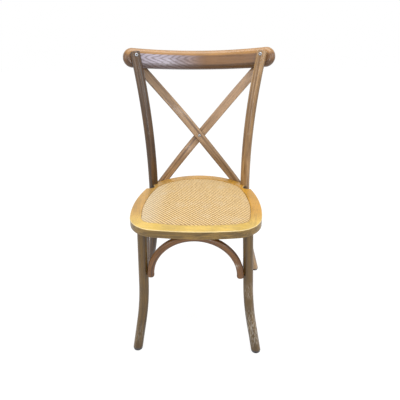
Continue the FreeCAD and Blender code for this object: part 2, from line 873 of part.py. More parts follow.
def cane_furrows(plan):
    """Shallow grooves from front to back, where one column of the weave meets the next."""
    low = seat_top_height - cane_furrow_depth
    half = cane_furrow_width / 2
    grooves = []
    count = int(plan["wide"] / cane_column_width)
    for i in range(-count, count):
        x = (i + 0.5) * cane_column_width
        section = Part.makePolygon([Vector(x - half, 0, seat_top_height), Vector(x, 0, low),
                                    Vector(x + half, 0, seat_top_height),
                                    Vector(x, 0, seat_top_height + half),
                                    Vector(x - half, 0, seat_top_height)])
        grooves.append(Part.Face(section).extrude(Vector(0, seat_depth, 0)))
    return Part.makeCompound(grooves)


def drill(parts, hosts, tool):
    """Cut the tool from each named piece."""
    for host in hosts:
        parts[host] = parts[host].cut(tool)


def screw_hole(origin, axis, length):
    """Cutter of a screw's hole, open in front of its head."""
    radius = screw_head_radius + hole_clearance
    steps = [(screw_head_opening, radius, radius)] + screw_steps(length, hole_clearance)
    return turned(origin - axis * screw_head_opening, axis, steps)


def fit_screw(parts, hosts, origin, axis, length):
    """Screw with its head at the origin, and its hole in the pieces it holds."""
    drill(parts, hosts, screw_hole(origin, axis, length))
    return turned(origin, axis, screw_steps(length, 0.0))


def fit_arch_screws(parts, name, places, start_host, end_host, crown_hosts):
    """Screws of one arch: one into each leg and one up into the seat frame."""
    ends = []
    for key, host in (("start", start_host), ("end", end_host)):
        foot, outward, rise = places[key]
        origin = foot + rise * arch_end_screw_rise - outward * (arch_thickness / 2)
        ends.append(fit_screw(parts, [name, host], origin, outward, arch_end_screw_length))
    crown = fit_screw(parts, [name] + crown_hosts, places["crown"], up, arch_crown_screw_length)
    return ends, crown


def make_arches(parts):
    """Front, rear and side arches with their screws."""
    ends = []
    crowns = []
    parts["front_arch"], places = front_arch()
    more, crown = fit_arch_screws(parts, "front_arch", places, "front_leg_left",
                                  "front_leg_right", ["seat_front_rail"])
    ends.extend(more)
    crowns.append(crown)
    parts["rear_arch"], places = rear_arch()
    places["crown"] = places["crown"] + Vector(0, arch_depth / 4, 0)
    more, crown = fit_arch_screws(parts, "rear_arch", places, "back_post_left",
                                  "back_post_right", ["seat_rear_rail"])
    ends.extend(more)
    crowns.append(crown)
    parts["side_arch_right"], places = side_arch()
    more, crown = fit_arch_screws(parts, "side_arch_right", places, "front_leg_right",
                                  "back_post_right", ["seat_side_rail_right"])
    ends.extend(more)
    crowns.append(crown)
    parts["side_arch_left"] = mirrored(parts["side_arch_right"])
    left_ends = [mirrored(screw) for screw in more]
    left_crown = mirrored(crown)
    left_tools = [turned_mirror(places, key) for key in ("start", "end")]
    drill(parts, ["front_leg_left"], left_tools[0])
    drill(parts, ["back_post_left"], left_tools[1])
    crown_tool = screw_hole(places["crown"], up, arch_crown_screw_length)
    drill(parts, ["seat_side_rail_left"], mirrored(crown_tool))
    parts["arch_end_screws"] = Part.makeCompound(ends + left_ends)
    parts["arch_crown_screws"] = Part.makeCompound(crowns + [left_crown])


def turned_mirror(places, key):
    """Hole cutter of a side arch's end screw on the left side."""
    foot, outward, rise = places[key]
    origin = foot + rise * arch_end_screw_rise - outward * (arch_thickness / 2)
    return mirrored(screw_hole(origin, outward, arch_end_screw_length))


def make_back(parts):
    """Top rail, crossed straps and the bolts through posts, rail and straps."""
    rail = make_rail()
    housing = round_bar(post_path(), post_diameter / 2 + post_housing_clearance)
    rail = rail.cut(housing).cut(mirrored(housing))
    parts["top_rail"] = rail
    parts["cross_strap_rear"] = make_strap(1)
    parts["cross_strap_front"] = mirrored(make_strap(-1))
    make_rail_bolts(parts)
    make_cross_bolt(parts)
    make_strap_screws(parts)


def make_rail_bolts(parts):
    """Bolt, washer and nut at each post, square to the rail."""
    axis = rail_normal()
    head = post_axis(rail_bolt_height) - axis * (post_diameter / 2 - bolt_head_sunk
                                                 + bolt_head_height)
    strap_back = strap_head() + axis * (strap_thickness / 2 + strap_gap)
    length = (strap_back - head).dot(axis) + washer_thickness + nut_height
    solid = bolt(head, axis, rail_bolt_head_radius, length)
    tool = turned(head, axis, bolt_steps(rail_bolt_head_radius, length, hole_clearance))
    drill(parts, ["back_post_right", "top_rail", "cross_strap_rear"], tool)
    drill(parts, ["back_post_left", "top_rail", "cross_strap_front"], mirrored(tool))
    hole = Part.makeCylinder(bolt_shank_radius + hole_clearance, length, head, axis)
    washer = Part.makeCylinder(washer_radius, washer_thickness, strap_back, axis).cut(hole)
    nut_at = strap_back + axis * washer_thickness
    nut = hexagon(nut_at, axis, nut_flats, nut_height).cut(hole)
    parts["rail_bolts"] = both_sides(solid)
    parts["rail_washers"] = both_sides(washer)
    parts["rail_nuts"] = both_sides(nut)


def make_cross_bolt(parts):
    """Short bolt and nut where the straps cross."""
    axis = crossing_normal()
    centre = strap_line(crossing_height())
    centre.x = 0.0
    half = strap_thickness + strap_gap
    head = centre - axis * (half + bolt_head_height - bolt_head_sunk)
    length = 2 * half + bolt_head_height - bolt_head_sunk + nut_height
    tool = turned(head, axis, bolt_steps(cross_bolt_head_radius, length, hole_clearance))
    drill(parts, ["cross_strap_front", "cross_strap_rear"], tool)
    hole = Part.makeCylinder(bolt_shank_radius + hole_clearance, length, head, axis)
    parts["cross_bolt"] = bolt(head, axis, cross_bolt_head_radius, length)
    parts["cross_nut"] = hexagon(centre + axis * half, axis, nut_flats, nut_height).cut(hole)


def make_strap_screws(parts):
    """Two screws through each strap foot into the seat frame."""
    foot, normal = strap_foot()
    along = Vector(normal.y, -normal.x, 0)
    screws = []
    for shift, rise in (lower_strap_screw, upper_strap_screw):
        origin = foot + along * shift + up * rise + normal * (strap_thickness / 2)
        tool = screw_hole(origin, normal * -1, strap_screw_length)
        drill(parts, ["cross_strap_front", "seat_side_rail_right"], tool)
        drill(parts, ["cross_strap_rear", "seat_side_rail_left"], mirrored(tool))
        screws.append(turned(origin, normal * -1, screw_steps(strap_screw_length, 0.0)))
    parts["strap_foot_screws"] = Part.makeCompound(screws + [mirrored(s) for s in screws])


def seat_straps(parts):
    """Plane the strap seats into the frame edge and the rail's back."""
    for strap, rails in (("cross_strap_rear", ("seat_side_rail_left", "top_rail")),
                         ("cross_strap_front", ("seat_side_rail_right", "top_rail"))):
        for rail in rails:
            parts[rail] = largest(parts[rail].cut(parts[strap]))


def largest(shape):
    """The biggest solid of a cut, without slivers."""
    return max(shape.Solids, key=lambda s: s.Volume)


def make_post_bolts(parts):
    """Bolt through each post into the seat frame."""
    turn = math.radians(post_bolt_direction)
    outward = Vector(math.sin(turn), math.cos(turn), 0)
    at = post_axis(post_bolt_height)
    head = at + outward * (post_diameter / 2 - bolt_head_sunk + bolt_head_height)
    steps = bolt_steps(rail_bolt_head_radius, post_bolt_length, hole_clearance)
    tool = turned(head, outward * -1, steps)
    drill(parts, ["back_post_right", "seat_side_rail_right"], tool)
    drill(parts, ["back_post_left", "seat_side_rail_left"], mirrored(tool))
    solid = bolt(head, outward * -1, rail_bolt_head_radius, post_bolt_length)
    parts["post_seat_bolts"] = both_sides(solid)


def make_board_screws(parts):
    """Screws up through the ledge into the seat board."""
    plan = opening_outline()
    half_ledge = ledge_width / 2
    front_x = 0.55 * plan["front_corner"][0]
    rear_x = 0.4 * plan["rear_corner"][0]
    places = [
        (front_x, front_edge(plan, front_x) + half_ledge, "seat_front_rail"),
        (rear_x, back_edge(plan, rear_x)[0] - half_ledge, "seat_rear_rail"),
        (plan["wide"] - half_ledge, plan["wide_at"] + 2 * half_ledge, "seat_side_rail_right"),
    ]
    screws = []
    for x, y, host in places:
        origin = Vector(x, y, seat_under)
        tool = screw_hole(origin, up, board_screw_length)
        left_host = host.replace("right", "left")
        drill(parts, [host, "seat_board"], tool)
        drill(parts, [left_host, "seat_board"], mirrored(tool))
        screws.append(turned(origin, up, screw_steps(board_screw_length, 0.0)))
    parts["seat_board_screws"] = Part.makeCompound(screws + [mirrored(s) for s in screws])


def make_legs(parts):
    """Front legs in their seat bores and back posts."""
    post = make_post()
    parts["back_post_right"] = post
    parts["back_post_left"] = mirrored(post)
    leg = make_front_leg()
    parts["front_leg_right"] = leg
    parts["front_leg_left"] = mirrored(leg)
    bore = Part.makeCylinder(leg_tenon_diameter / 2 + leg_tenon_clearance,
                             leg_tenon_length + 0.5, leg_axis(seat_under), up)
    for host in ("seat_front_rail", "seat_side_rail_right"):
        drill(parts, [host], bore)
    for host in ("seat_front_rail", "seat_side_rail_left"):
        drill(parts, [host], mirrored(bore))


def make_glides(parts):
    """Round plastic glide and its pin under each foot."""
    pins = []
    for name, axis in (("front_glide", leg_axis), ("rear_glide", post_axis)):
        centre = axis(glide_height)
        base = Vector(centre.x, centre.y, 0)
        disc = Part.makeCylinder(glide_radius, glide_height, base, up)
        disc = disc.makeFillet(glide_edge_rounding, level_edges(disc, 0.0))
        pin = Part.makeCylinder(glide_pin_radius, glide_pin_length,
                                base + up * (glide_height / 2), up)
        hole = Part.makeCylinder(glide_pin_radius + hole_clearance,
                                 glide_pin_length + 2 * hole_clearance,
                                 base + up * (glide_height / 2 - hole_clearance), up)
        disc = disc.cut(hole)
        host = name.replace("glide", "leg").replace("rear_leg", "back_post")
        drill(parts, [host + "_right"], hole)
        drill(parts, [host + "_left"], mirrored(hole))
        parts[name + "_right"] = disc
        parts[name + "_left"] = mirrored(disc)
        pins.extend([pin, mirrored(pin)])
    parts["glide_pins"] = Part.makeCompound(pins)


def build():
    """Every piece of the chair by name, in drawing coordinates."""
    parts = {}
    make_seat_frame(parts)
    make_seat_panel(parts)
    make_legs(parts)
    make_back(parts)
    seat_straps(parts)
    make_post_bolts(parts)
    make_arches(parts)
    make_board_screws(parts)
    make_glides(parts)
    return parts


def export(parts):
    """Move the chair so that its base centre is the origin, and write each piece."""
    boxes = [shape.optimalBoundingBox(False) for shape in parts.values()]
    left = min(box.XMin for box in boxes)
    right = max(box.XMax for box in boxes)
    front = min(box.YMin for box in boxes)
    back = max(box.YMax for box in boxes)
    low = min(box.ZMin for box in boxes)
    shift = Vector(-(left + right) / 2, -(front + back) / 2, -low)
    os.makedirs("parts", exist_ok=True)
    for name, shape in parts.items():
        moved = shape.copy()
        moved.translate(shift)
        moved.exportStep("parts/" + name + ".step")
        if not moved.isValid():
            print("not valid:", name)
    print("moved by", [round(c, 3) for c in shift])


export(build())
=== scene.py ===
import math

import bmesh
import bpy
import numpy as np
from mathutils import Matrix, Vector


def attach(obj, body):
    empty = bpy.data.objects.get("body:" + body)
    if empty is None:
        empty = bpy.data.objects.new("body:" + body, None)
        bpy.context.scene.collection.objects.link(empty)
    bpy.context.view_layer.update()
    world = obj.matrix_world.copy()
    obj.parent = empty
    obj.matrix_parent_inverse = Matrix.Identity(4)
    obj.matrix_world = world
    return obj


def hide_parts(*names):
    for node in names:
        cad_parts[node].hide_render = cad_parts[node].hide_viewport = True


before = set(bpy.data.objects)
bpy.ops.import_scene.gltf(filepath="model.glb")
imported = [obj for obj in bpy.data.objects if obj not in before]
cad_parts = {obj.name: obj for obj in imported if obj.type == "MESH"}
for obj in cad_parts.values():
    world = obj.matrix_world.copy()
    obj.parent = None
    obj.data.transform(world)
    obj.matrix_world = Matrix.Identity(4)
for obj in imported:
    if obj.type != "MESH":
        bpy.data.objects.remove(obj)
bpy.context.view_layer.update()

# Sizes are in millimetres from the seat's front edge; the chair's base centre lies further back.
base_centre_back = 236.015
seat_top = 457.0
seat_under = 431.0
ledge_top = 445.0
glide_height = 6.0


def row(*values):
    """A vector of floats."""
    return np.array(values, float)


def unit(v):
    """Vectors divided by their lengths."""
    return v / np.linalg.norm(v, axis=-1, keepdims=True)


def metres(points):
    """Points moved to the base centre and turned from millimetres into metres."""
    return (np.asarray(points, float) - row(0, base_centre_back, 0)) / 1000.0


def mirror(points):
    """Points on the other side of the chair's middle plane."""
    return np.asarray(points, float) * row(-1, 1, 1)


def signed_volume(verts, quads):
    """Volume inside a closed skin, negative where its faces point inwards."""
    a, b, c, d = (verts[quads[:, k]] for k in range(4))
    halves = np.einsum("ij,ij->i", a, np.cross(b, c)) + np.einsum("ij,ij->i", a, np.cross(c, d))
    return halves.sum()


def skin(name, rings, along, around, material, tone=None, weld=False):
    """Closed skin through rings of points.

    A point is rings[i, j], with i along the piece and j round it. A flat face closes each end,
    or, where weld is set, the end rings fold shut and their double points are merged. The UV
    map is the length along the piece and the girth round it, in metres. Tone is kept as an
    attribute.
    """
    n, k = rings.shape[:2]
    verts = metres(rings.reshape(-1, 3))
    i, j = np.meshgrid(np.arange(n - 1), np.arange(k), indexing="ij")
    girth = np.append(around, 2 * around[-1] - around[-2])
    corners = ((i, j), (i, j + 1), (i + 1, j + 1), (i + 1, j))
    quads = np.stack([a * k + b % k for a, b in corners], -1).reshape(-1, 4)
    uv = np.stack([np.stack([along[a], girth[b]], -1) for a, b in corners], 2).reshape(-1, 4, 2)
    caps = [] if weld else [np.arange(k)[::-1], (n - 1) * k + np.arange(k)]
    if signed_volume(verts, quads) < 0:
        quads, uv, caps = quads[:, ::-1], uv[:, ::-1], [cap[::-1] for cap in caps]
    loops = np.concatenate([quads.reshape(-1)] + caps)
    cap_uv = [verts[cap][:, [0, 2]] + row(0.37, 0.11) for cap in caps]
    uv = np.concatenate([uv.reshape(-1, 2)] + cap_uv)
    starts = np.concatenate([np.arange(len(quads)) * 4,
                             len(quads) * 4 + np.arange(len(caps)) * k])
    return solid_mesh(name, verts, loops, starts, uv, material,
                      None if tone is None else tone.reshape(-1), weld)


def put(name, data):
    """An object with the given data, in the scene."""
    item = bpy.data.objects.new(name, data)
    bpy.context.scene.collection.objects.link(item)
    return item


def solid_mesh(name, verts, loops, starts, uv, material, tone, weld):
    """Mesh object from arrays of points, face corners, face starts and UV coordinates."""
    mesh = bpy.data.meshes.new(name)
    mesh.vertices.add(len(verts))
    mesh.vertices.foreach_set("co", verts.astype(np.float32).reshape(-1))
    mesh.loops.add(len(loops))
    mesh.loops.foreach_set("vertex_index", loops.astype(np.int32))
    mesh.polygons.add(len(starts))
    mesh.polygons.foreach_set("loop_start", starts.astype(np.int32))
    layer = mesh.uv_layers.new(name="grain")
    layer.data.foreach_set("uv", uv.astype(np.float32).reshape(-1))
    if tone is not None:
        kept = mesh.attributes.new("tone", "FLOAT", "POINT")
        kept.data.foreach_set("value", tone.astype(np.float32))
    mesh.update(calc_edges=True)
    mesh.validate()
    if weld:
        work = bmesh.new()
        work.from_mesh(mesh)
        bmesh.ops.remove_doubles(work, verts=work.verts, dist=2e-6)
        bmesh.ops.recalc_face_normals(work, faces=work.faces)
        work.to_mesh(mesh)
        work.free()
    mesh.polygons.foreach_set("use_smooth", np.ones(len(mesh.polygons), bool))
    mesh.materials.append(material)
    return put(name, mesh)


def finish_piece(piece, slot, *nodes, sharp=40.0):
    """Creases a piece's sharp edges and puts it on the chair in place of its nodes."""
    mesh = piece.data
    work = bmesh.new()
    work.from_mesh(mesh)
    limit = math.radians(sharp)
    for edge in work.edges:
        edge.smooth = not (len(edge.link_faces) == 2 and edge.calc_face_angle(0.0) > limit)
    work.to_mesh(mesh)
    work.free()
    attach(piece, "root")
    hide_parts(*nodes)
    return piece


def lengths(points):
    """Length run so far at each point of a line, in metres."""
    steps = np.linalg.norm(np.diff(points, axis=0), axis=1)
    return np.concatenate([[0.0], np.cumsum(steps)]) / 1000.0


# Materials

def colour(r, g, b):
    """A colour given as seen on a screen, from 0 to 255, in linear light."""
    c = row(r, g, b) / 255.0
    c = np.where(c <= 0.04045, c / 12.92, ((c + 0.055) / 1.055) ** 2.4)
    return (*c, 1.0)


def shade(share, tint):
    """A colour times a share."""
    return (*(share * c for c in tint[:3]), 1.0)


class Recipe:
    """A material and the short words that add its nodes."""

    def __init__(self, name, **sockets):
        self.material = bpy.data.materials.new(name)
        self.material.use_nodes = True
        self.nodes = self.material.node_tree.nodes
        self.links = self.material.node_tree.links
        self.shader = self.nodes["Principled BSDF"]
        for socket, value in sockets.items():
            self.shader.inputs[socket.replace("_", " ")].default_value = value

    def add(self, kind, **inputs):
        """A node with its inputs set or linked; names with underscores mean spaces."""
        node = self.nodes.new("ShaderNode" + kind)
        for key, value in inputs.items():
            self.feed(node.inputs[key.replace("_", " ")], value)
        return node

    def feed(self, socket, value):
        """Links an output to a socket, or sets the socket to a constant."""
        if isinstance(value, bpy.types.NodeSocket):
            self.links.new(value, socket)
        else:
            socket.default_value = value

    def maths(self, operation, a, b=None, c=None, clamp=False):
        """One sum on one, two or three values."""
        node = self.nodes.new("ShaderNodeMath")
        node.operation = operation
        node.use_clamp = clamp
        for socket, value in zip(node.inputs, (a, b, c)):
            if value is not None:
                self.feed(socket, value)
        return node.outputs[0]

    def product(self, a, b):
        """Two values multiplied."""
        return self.maths("MULTIPLY", a, b)

    def kept(self, name):
        """The values kept on the mesh under a name."""
        node = self.nodes.new("ShaderNodeAttribute")
        node.attribute_name = name
        return node.outputs["Fac"]

    def axis(self, vector, letter):
        """One part of a vector."""
        return self.add("SeparateXYZ", Vector=vector).outputs[letter]

    def grain(self):
        """The piece's own length and girth, from its UV map."""
        node = self.nodes.new("ShaderNodeUVMap")
        node.uv_map = "grain"
        return node.outputs["UV"]

    def place(self):
        """Object coordinates."""
        return self.nodes.new("ShaderNodeTexCoord").outputs["Object"]

    def stretched(self, vector, scale, location=(0, 0, 0), rotation=(0, 0, 0)):
        """Coordinates turned, scaled and moved."""
        node = self.add("Mapping", Vector=vector, Location=location, Rotation=rotation,
                        Scale=scale)
        return node.outputs["Vector"]

    def noise(self, vector, scale=1.0, detail=4.0, roughness=0.55, distortion=0.0):
        """Cloudy noise from 0 to 1."""
        node = self.add("TexNoise", Vector=vector, Scale=scale, Detail=detail,
                        Roughness=roughness, Distortion=distortion)
        return node.outputs["Fac"]

    def between(self, value, low, high, out_low=0.0, out_high=1.0):
        """The value's place between low and high, smoothly, given a new range."""
        node = self.add("MapRange", Value=value, From_Min=low, From_Max=high, To_Min=out_low,
                        To_Max=out_high)
        node.interpolation_type = "SMOOTHSTEP"
        return node.outputs["Result"]

    def mix(self, share, first, second, kind="MIX"):
        """Two colours mixed."""
        node = self.nodes.new("ShaderNodeMix")
        node.data_type = "RGBA"
        node.blend_type = kind
        self.feed(node.inputs[0], share)
        self.feed(node.inputs[6], first)
        self.feed(node.inputs[7], second)
        return node.outputs[2]

    def side_share(self, low, high):
        """0 to 1 across the chair, between two places left and right of its middle."""
        return self.between(self.axis(self.place(), "X"), low, high)

    def nested_lines(self, vector):
        """Arrow-shaped lines of flat-sawn grain: length less distance from the middle line."""
        parts = self.add("SeparateXYZ", Vector=vector)
        off = self.maths("ABSOLUTE", parts.outputs["Y"])
        wander = self.noise(self.stretched(vector, (14, 60, 1)), detail=5.0, roughness=0.7)
        run = self.maths("SUBTRACT", parts.outputs["X"], self.product(off, 2.4))
        phase = self.maths("MULTIPLY_ADD", run, 2 * math.pi / 0.026, self.product(wander, 11.0))
        return self.between(self.maths("SINE", phase), -0.4, 1.0)

    def relief(self, height, distance, strength):
        """Bump from a height."""
        return self.add("Bump", Height=height, Distance=distance,
                        Strength=strength).outputs["Normal"]

    def finish(self, base, rough, normal):
        """Links colour, roughness and normal to the shader."""
        self.links.new(base, self.shader.inputs["Base Color"])
        self.links.new(rough, self.shader.inputs["Roughness"])
        self.links.new(normal, self.shader.inputs["Normal"])
        return self.material


def near(recipe, point, radius):
    """1 at a point of the chair, given in design millimetres, falling to 0 at a radius."""
    node = recipe.nodes.new("ShaderNodeVectorMath")
    node.operation = "DISTANCE"
    recipe.links.new(recipe.place(), node.inputs[0])
    node.inputs[1].default_value = tuple(metres(row(*point)))
    return recipe.between(node.outputs["Value"], radius / 1000.0, 0.2 * radius / 1000.0)


def stained_oak(name, dark, light, top=None, scuffs=(), grain_vector=None, gloss=(0.30, 0.46),
                figure=None, patch=None, stains=(), coat=0.30, seed=0.0):
    """Open-pored oak under a satin stain: long streaks, fine pores, worn and dusty places.

    The mesh's tone paints light and shade: the colour turns to top on lit faces as painted light,
    darker on undersides as painted shade and pale on rounded edges as a painted highlight. Scuffs,
    pale worn points, and the dark points, painted shadows, each have a radius and a strength. The
    pair for the rail's front face gives a painted lilac-grey reflection towards the left and the
    strength of arrow-shaped grain there, patch a stretch across the chair where the colour turns
    to another.
    """
    made = Recipe(name, Coat_Weight=coat, Coat_Roughness=0.16)
    vector = grain_vector(made) if grain_vector else made.grain()
    at = (seed, 0.31 * seed, 0.17 * seed)
    streaks = made.noise(made.stretched(vector, (7, 190, 190), at), detail=6.0, roughness=0.62)
    bands = made.noise(made.stretched(vector, (3, 45, 45), at), detail=3.0, distortion=0.6)
    pores = made.noise(made.stretched(vector, (55, 1500, 1500), at), detail=2.0)
    clouds = made.noise(made.place(), scale=14.0, detail=4.0)
    share = made.maths("ADD", made.product(streaks, 0.62), made.product(bands, 0.38))
    base = made.mix(made.between(share, 0.36, 0.62), dark, light)
    deep = shade(0.5, dark)
    if figure:
        body = made.between(made.axis(vector, "X"), 0.040, 0.062)
        # Painted reflection: the front face turns lilac-grey towards the left; the arrow lines
        # below are grain.
        base = made.mix(made.product(made.side_share(0.03, -0.10), body), base, figure[0])
        base = made.mix(made.between(share, 0.42, 0.62, 0.0, 0.35), base, deep)
        lines = made.product(made.nested_lines(vector), made.side_share(0.02, -0.05))
        base = made.mix(made.product(made.product(lines, body), figure[1]), base, deep)
    if patch:
        low, high, other = patch
        base = made.mix(made.between(made.side_share(low, high), 0.0, 1.0, 0.0, 0.5), base, other)
    if top is not None:
        # Painted light and shade from the mesh's tone: lit colour on upper faces, painted shade on
        # undersides.
        tone = made.kept("tone")
        if callable(top):
            dim = made.between(share, 0.32, 0.66, 0.76, 1.0)
            lit = made.mix(1.0, top(made), made.add("CombineXYZ", X=dim, Y=dim, Z=dim).outputs[0],
                           "MULTIPLY")
        else:
            lit = made.mix(made.between(share, 0.32, 0.66), shade(0.78, top), top)
        edge = made.maths("ADD", tone, made.product(made.maths("SUBTRACT", streaks, 0.5), 0.5))
        base = made.mix(made.between(edge, 0.25, 0.75), base, lit)
        base = made.mix(made.between(edge, -0.3, -0.9, 0.0, 0.55), base, deep)
        # Painted highlight: pale colour on rounded edges where the tone rises above one.
        base = made.mix(made.between(tone, 1.1, 1.5, 0.0, 0.7), base, colour(248, 232, 190))
    pore_mask = made.between(pores, 0.60, 0.70)
    base = made.mix(made.product(pore_mask, 0.55), base, shade(0.38, dark))
    base = made.mix(made.between(clouds, 0.30, 0.75, 0.0, 0.30), base, shade(0.72, dark))
    foot = made.between(made.axis(made.place(), "Z"), 0.0125, 0.0095, 0.0, 0.9)
    base = made.mix(foot, base, colour(50, 48, 50))
    # Painted shadows: near-black patches where shadow falls in the seat's notches.
    for point, radius, strength in stains:
        base = made.mix(made.product(near(made, point, radius), strength), base,
                        colour(24, 16, 8))
    for point, radius, strength in scuffs:
        speck = made.noise(made.stretched(vector, (70, 420, 420), at), detail=3.0)
        mark = made.product(near(made, point, radius), made.between(speck, 0.44, 0.66))
        base = made.mix(made.product(mark, strength), base, colour(186, 178, 164))
    rough = made.between(streaks, 0.3, 0.7, *gloss)
    rough = made.maths("ADD", rough, made.product(pore_mask, 0.25))
    height = made.maths("SUBTRACT", streaks, made.product(pore_mask, 0.5))
    return made.finish(base, rough, made.relief(height, 0.0004, 0.55))


def painted_lit_gold(recipe):
    """Painted light on the frame's upper faces: paler at left, deeper at right, yellow in front.
    """
    sides = recipe.mix(recipe.side_share(-0.17, 0.17), colour(203, 155, 74), colour(212, 155, 46))
    front = recipe.between(recipe.axis(recipe.place(), "Y"), -0.10, -0.215)
    return recipe.mix(front, sides, colour(231, 194, 96))


def cane_strands(name, light, dark):
    """Split rattan: glossy skin with fine lengthwise fibres, paler and darker strand by strand."""
    made = Recipe(name, Coat_Weight=0.25, Coat_Roughness=0.25)
    vector = made.grain()
    fibre = made.noise(made.stretched(vector, (30, 2600, 1)), detail=3.0)
    patches = made.noise(made.place(), scale=22.0, detail=4.0)
    share = made.maths("ADD", made.product(made.kept("tone"), 0.75), made.product(fibre, 0.25))
    base = made.mix(made.between(share, 0.15, 0.85), dark, light)
    # Painted sheen: strands turn pale towards the left; the cloudy pale patches are random.
    pale = made.product(made.side_share(-0.085, -0.15), 0.45)
    pale = made.maths("ADD", pale, made.between(patches, 0.50, 0.75, 0.0, 0.25), clamp=True)
    base = made.mix(pale, base, colour(206, 192, 166))
    rough = made.between(fibre, 0.3, 0.7, 0.28, 0.48)
    return made.finish(base, rough, made.relief(fibre, 0.0002, 0.5))


def plain_wood(name, light, dark):
    """Raw sheet wood with a soft straight grain."""
    made = Recipe(name)
    streaks = made.noise(made.stretched(made.place(), (8, 160, 160)), detail=5.0)
    base = made.mix(made.between(streaks, 0.3, 0.7), dark, light)
    rough = made.between(streaks, 0.2, 0.8, 0.55, 0.75)
    return made.finish(base, rough, made.relief(streaks, 0.0003, 0.4))


def turned_steel(name, tint, gloss):
    """Bright screw steel with fine turning marks and a little dulling."""
    made = Recipe(name, Metallic=1.0)
    marks = made.noise(made.stretched(made.place(), (900, 900, 900)), detail=3.0)
    dull = made.noise(made.place(), scale=180.0, detail=4.0)
    base = made.mix(made.between(dull, 0.35, 0.75), tint, shade(0.7, tint))
    rough = made.between(marks, 0.3, 0.7, *gloss)
    return made.finish(base, rough, made.relief(marks, 0.00005, 0.4))


def glide_plastic(name, light, dark):
    """Dark moulded plastic, dusty and rubbed pale in places."""
    made = Recipe(name)
    grain = made.noise(made.place(), scale=900.0, detail=3.0)
    dust = made.noise(made.place(), scale=120.0, detail=5.0)
    base = made.mix(made.between(dust, 0.50, 0.72, 0.0, 0.6), dark, light)
    rough = made.between(grain, 0.3, 0.7, 0.45, 0.65)
    return made.finish(base, rough, made.relief(grain, 0.0001, 0.5))


# Round bent bars: back posts and front legs

post_diameter = 31.0
post_half_spacing = 159.4
post_from_front = 327.0
post_upright_height = 505.0
post_upper_bend_radius = 970.0
post_lower_bend_radius = 881.0
post_upper_bend_direction = math.radians(33.0)
post_lower_bend_direction = math.radians(27.6)
post_foot_splay = math.radians(26.3)
post_top_height = 881.0


def post_axis(z):
    """Centre line of the right post: straight foot, then two bends tangent at its upright."""
    z = np.asarray(z, float)
    rise = z - post_upright_height
    upper = post_upper_bend_radius - np.sqrt(post_upper_bend_radius ** 2
                                             - np.clip(rise, 0, 900) ** 2)
    knee = post_lower_bend_radius * math.sin(post_foot_splay)
    drop = np.clip(-rise, 0, knee)
    lower = post_lower_bend_radius - np.sqrt(post_lower_bend_radius ** 2 - drop ** 2)
    lower = lower + np.clip(-rise - knee, 0, None) * math.tan(post_foot_splay)
    x = (post_half_spacing + upper * math.sin(post_upper_bend_direction)
         + lower * math.sin(post_lower_bend_direction))
    y = (post_from_front + upper * math.cos(post_upper_bend_direction)
         + lower * math.cos(post_lower_bend_direction))
    return np.stack([x, y, z], -1)


leg_diameter = 30.0
leg_half_spacing = 151.8
leg_from_front = 42.9
leg_top_lean = math.radians(3.1)
leg_foot_splay = math.radians(12.4)
leg_bend_radius = 885.0
leg_bend_height = 176.0
leg_direction = math.radians(126.0)


def leg_axis(z):
    """Centre line of the right front leg: nearly upright, a gentle bend, a splayed foot."""
    z = np.asarray(z, float)
    reach = leg_bend_radius * math.tan((leg_foot_splay - leg_top_lean) / 2)
    start = leg_bend_height + reach * math.cos(leg_top_lean)
    end = leg_bend_height - reach * math.cos(leg_foot_splay)
    knee = (seat_under - leg_bend_height) * math.tan(leg_top_lean)
    upper = (seat_under - z) * math.tan(leg_top_lean)
    lower = knee + (leg_bend_height - z) * math.tan(leg_foot_splay)
    centre_z = start + leg_bend_radius * math.sin(leg_top_lean)
    centre_out = ((seat_under - start) * math.tan(leg_top_lean)
                  + leg_bend_radius * math.cos(leg_top_lean))
    drop = np.clip(centre_z - z, 0, leg_bend_radius * 0.99)
    bend = centre_out - np.sqrt(leg_bend_radius ** 2 - drop ** 2)
    away = np.where(z >= start, upper, np.where(z <= end, lower, bend))
    x = leg_half_spacing + away * math.sin(leg_direction)
    y = leg_from_front + away * math.cos(leg_direction)
    return np.stack([x, y, z], -1)


def round_bar(name, axis, low, high, radius, material, level_top, side, ring=56, steps=110):
    """Round bar along a centre line, with a level cut at the foot and an eased upper end.

    Ring point j is the centre plus the radius times the cosine and sine of its angle along
    two directions square to the line. The foot's rings are slid along the line to one level.
    """
    z = np.linspace(low, high, steps)
    line = axis(z)
    heading = unit(np.gradient(line, axis=0))
    back = row(0.35, 1.0, 0.0)
    first = unit(back - heading * (heading @ back)[:, None])
    second = np.cross(heading, first)
    turn = np.linspace(0, 2 * np.pi, ring, endpoint=False)
    circle = (np.cos(turn)[None, :, None] * first[:, None]
              + np.sin(turn)[None, :, None] * second[:, None])

    def ring_at(i, size, level=None, shift=0.0):
        points = line[i] + heading[i] * shift + circle[i] * size
        if level is not None:
            points = points - heading[i] * ((points[:, 2:] - level) / heading[i, 2])
        return points

    keep = [i for i in range(steps) if z[i] > low + 9.0 and (not level_top or z[i] < high - 3.0)]
    rings = [ring_at(0, radius - 1.2, low), ring_at(0, radius - 0.35, low + 0.35),
             ring_at(0, radius, low + 1.3)]
    rings += [ring_at(i, radius) for i in keep]
    eased = ((0.35, 0.12), (1.0, 0.55), (1.4, 1.3), (1.5, 2.4), (1.6, 7.0))
    if level_top:
        rings += [ring_at(steps - 1, radius, high)]
    else:
        rings += [ring_at(steps - 1, radius - drop, None, shift) for shift, drop in eased]
    rings = np.array(rings)
    if side < 0:
        rings = mirror(rings)
    along = lengths(rings.mean(1))
    return skin(name, rings, along, turn * radius / 1000.0, material)


# Top rail

rail_height = 61.0
rail_depth = 35.0
rail_bend_radius = 570.0
rail_half_length = 243.5
rail_bolt_height = 871.5
rail_housing_depth = 2.0


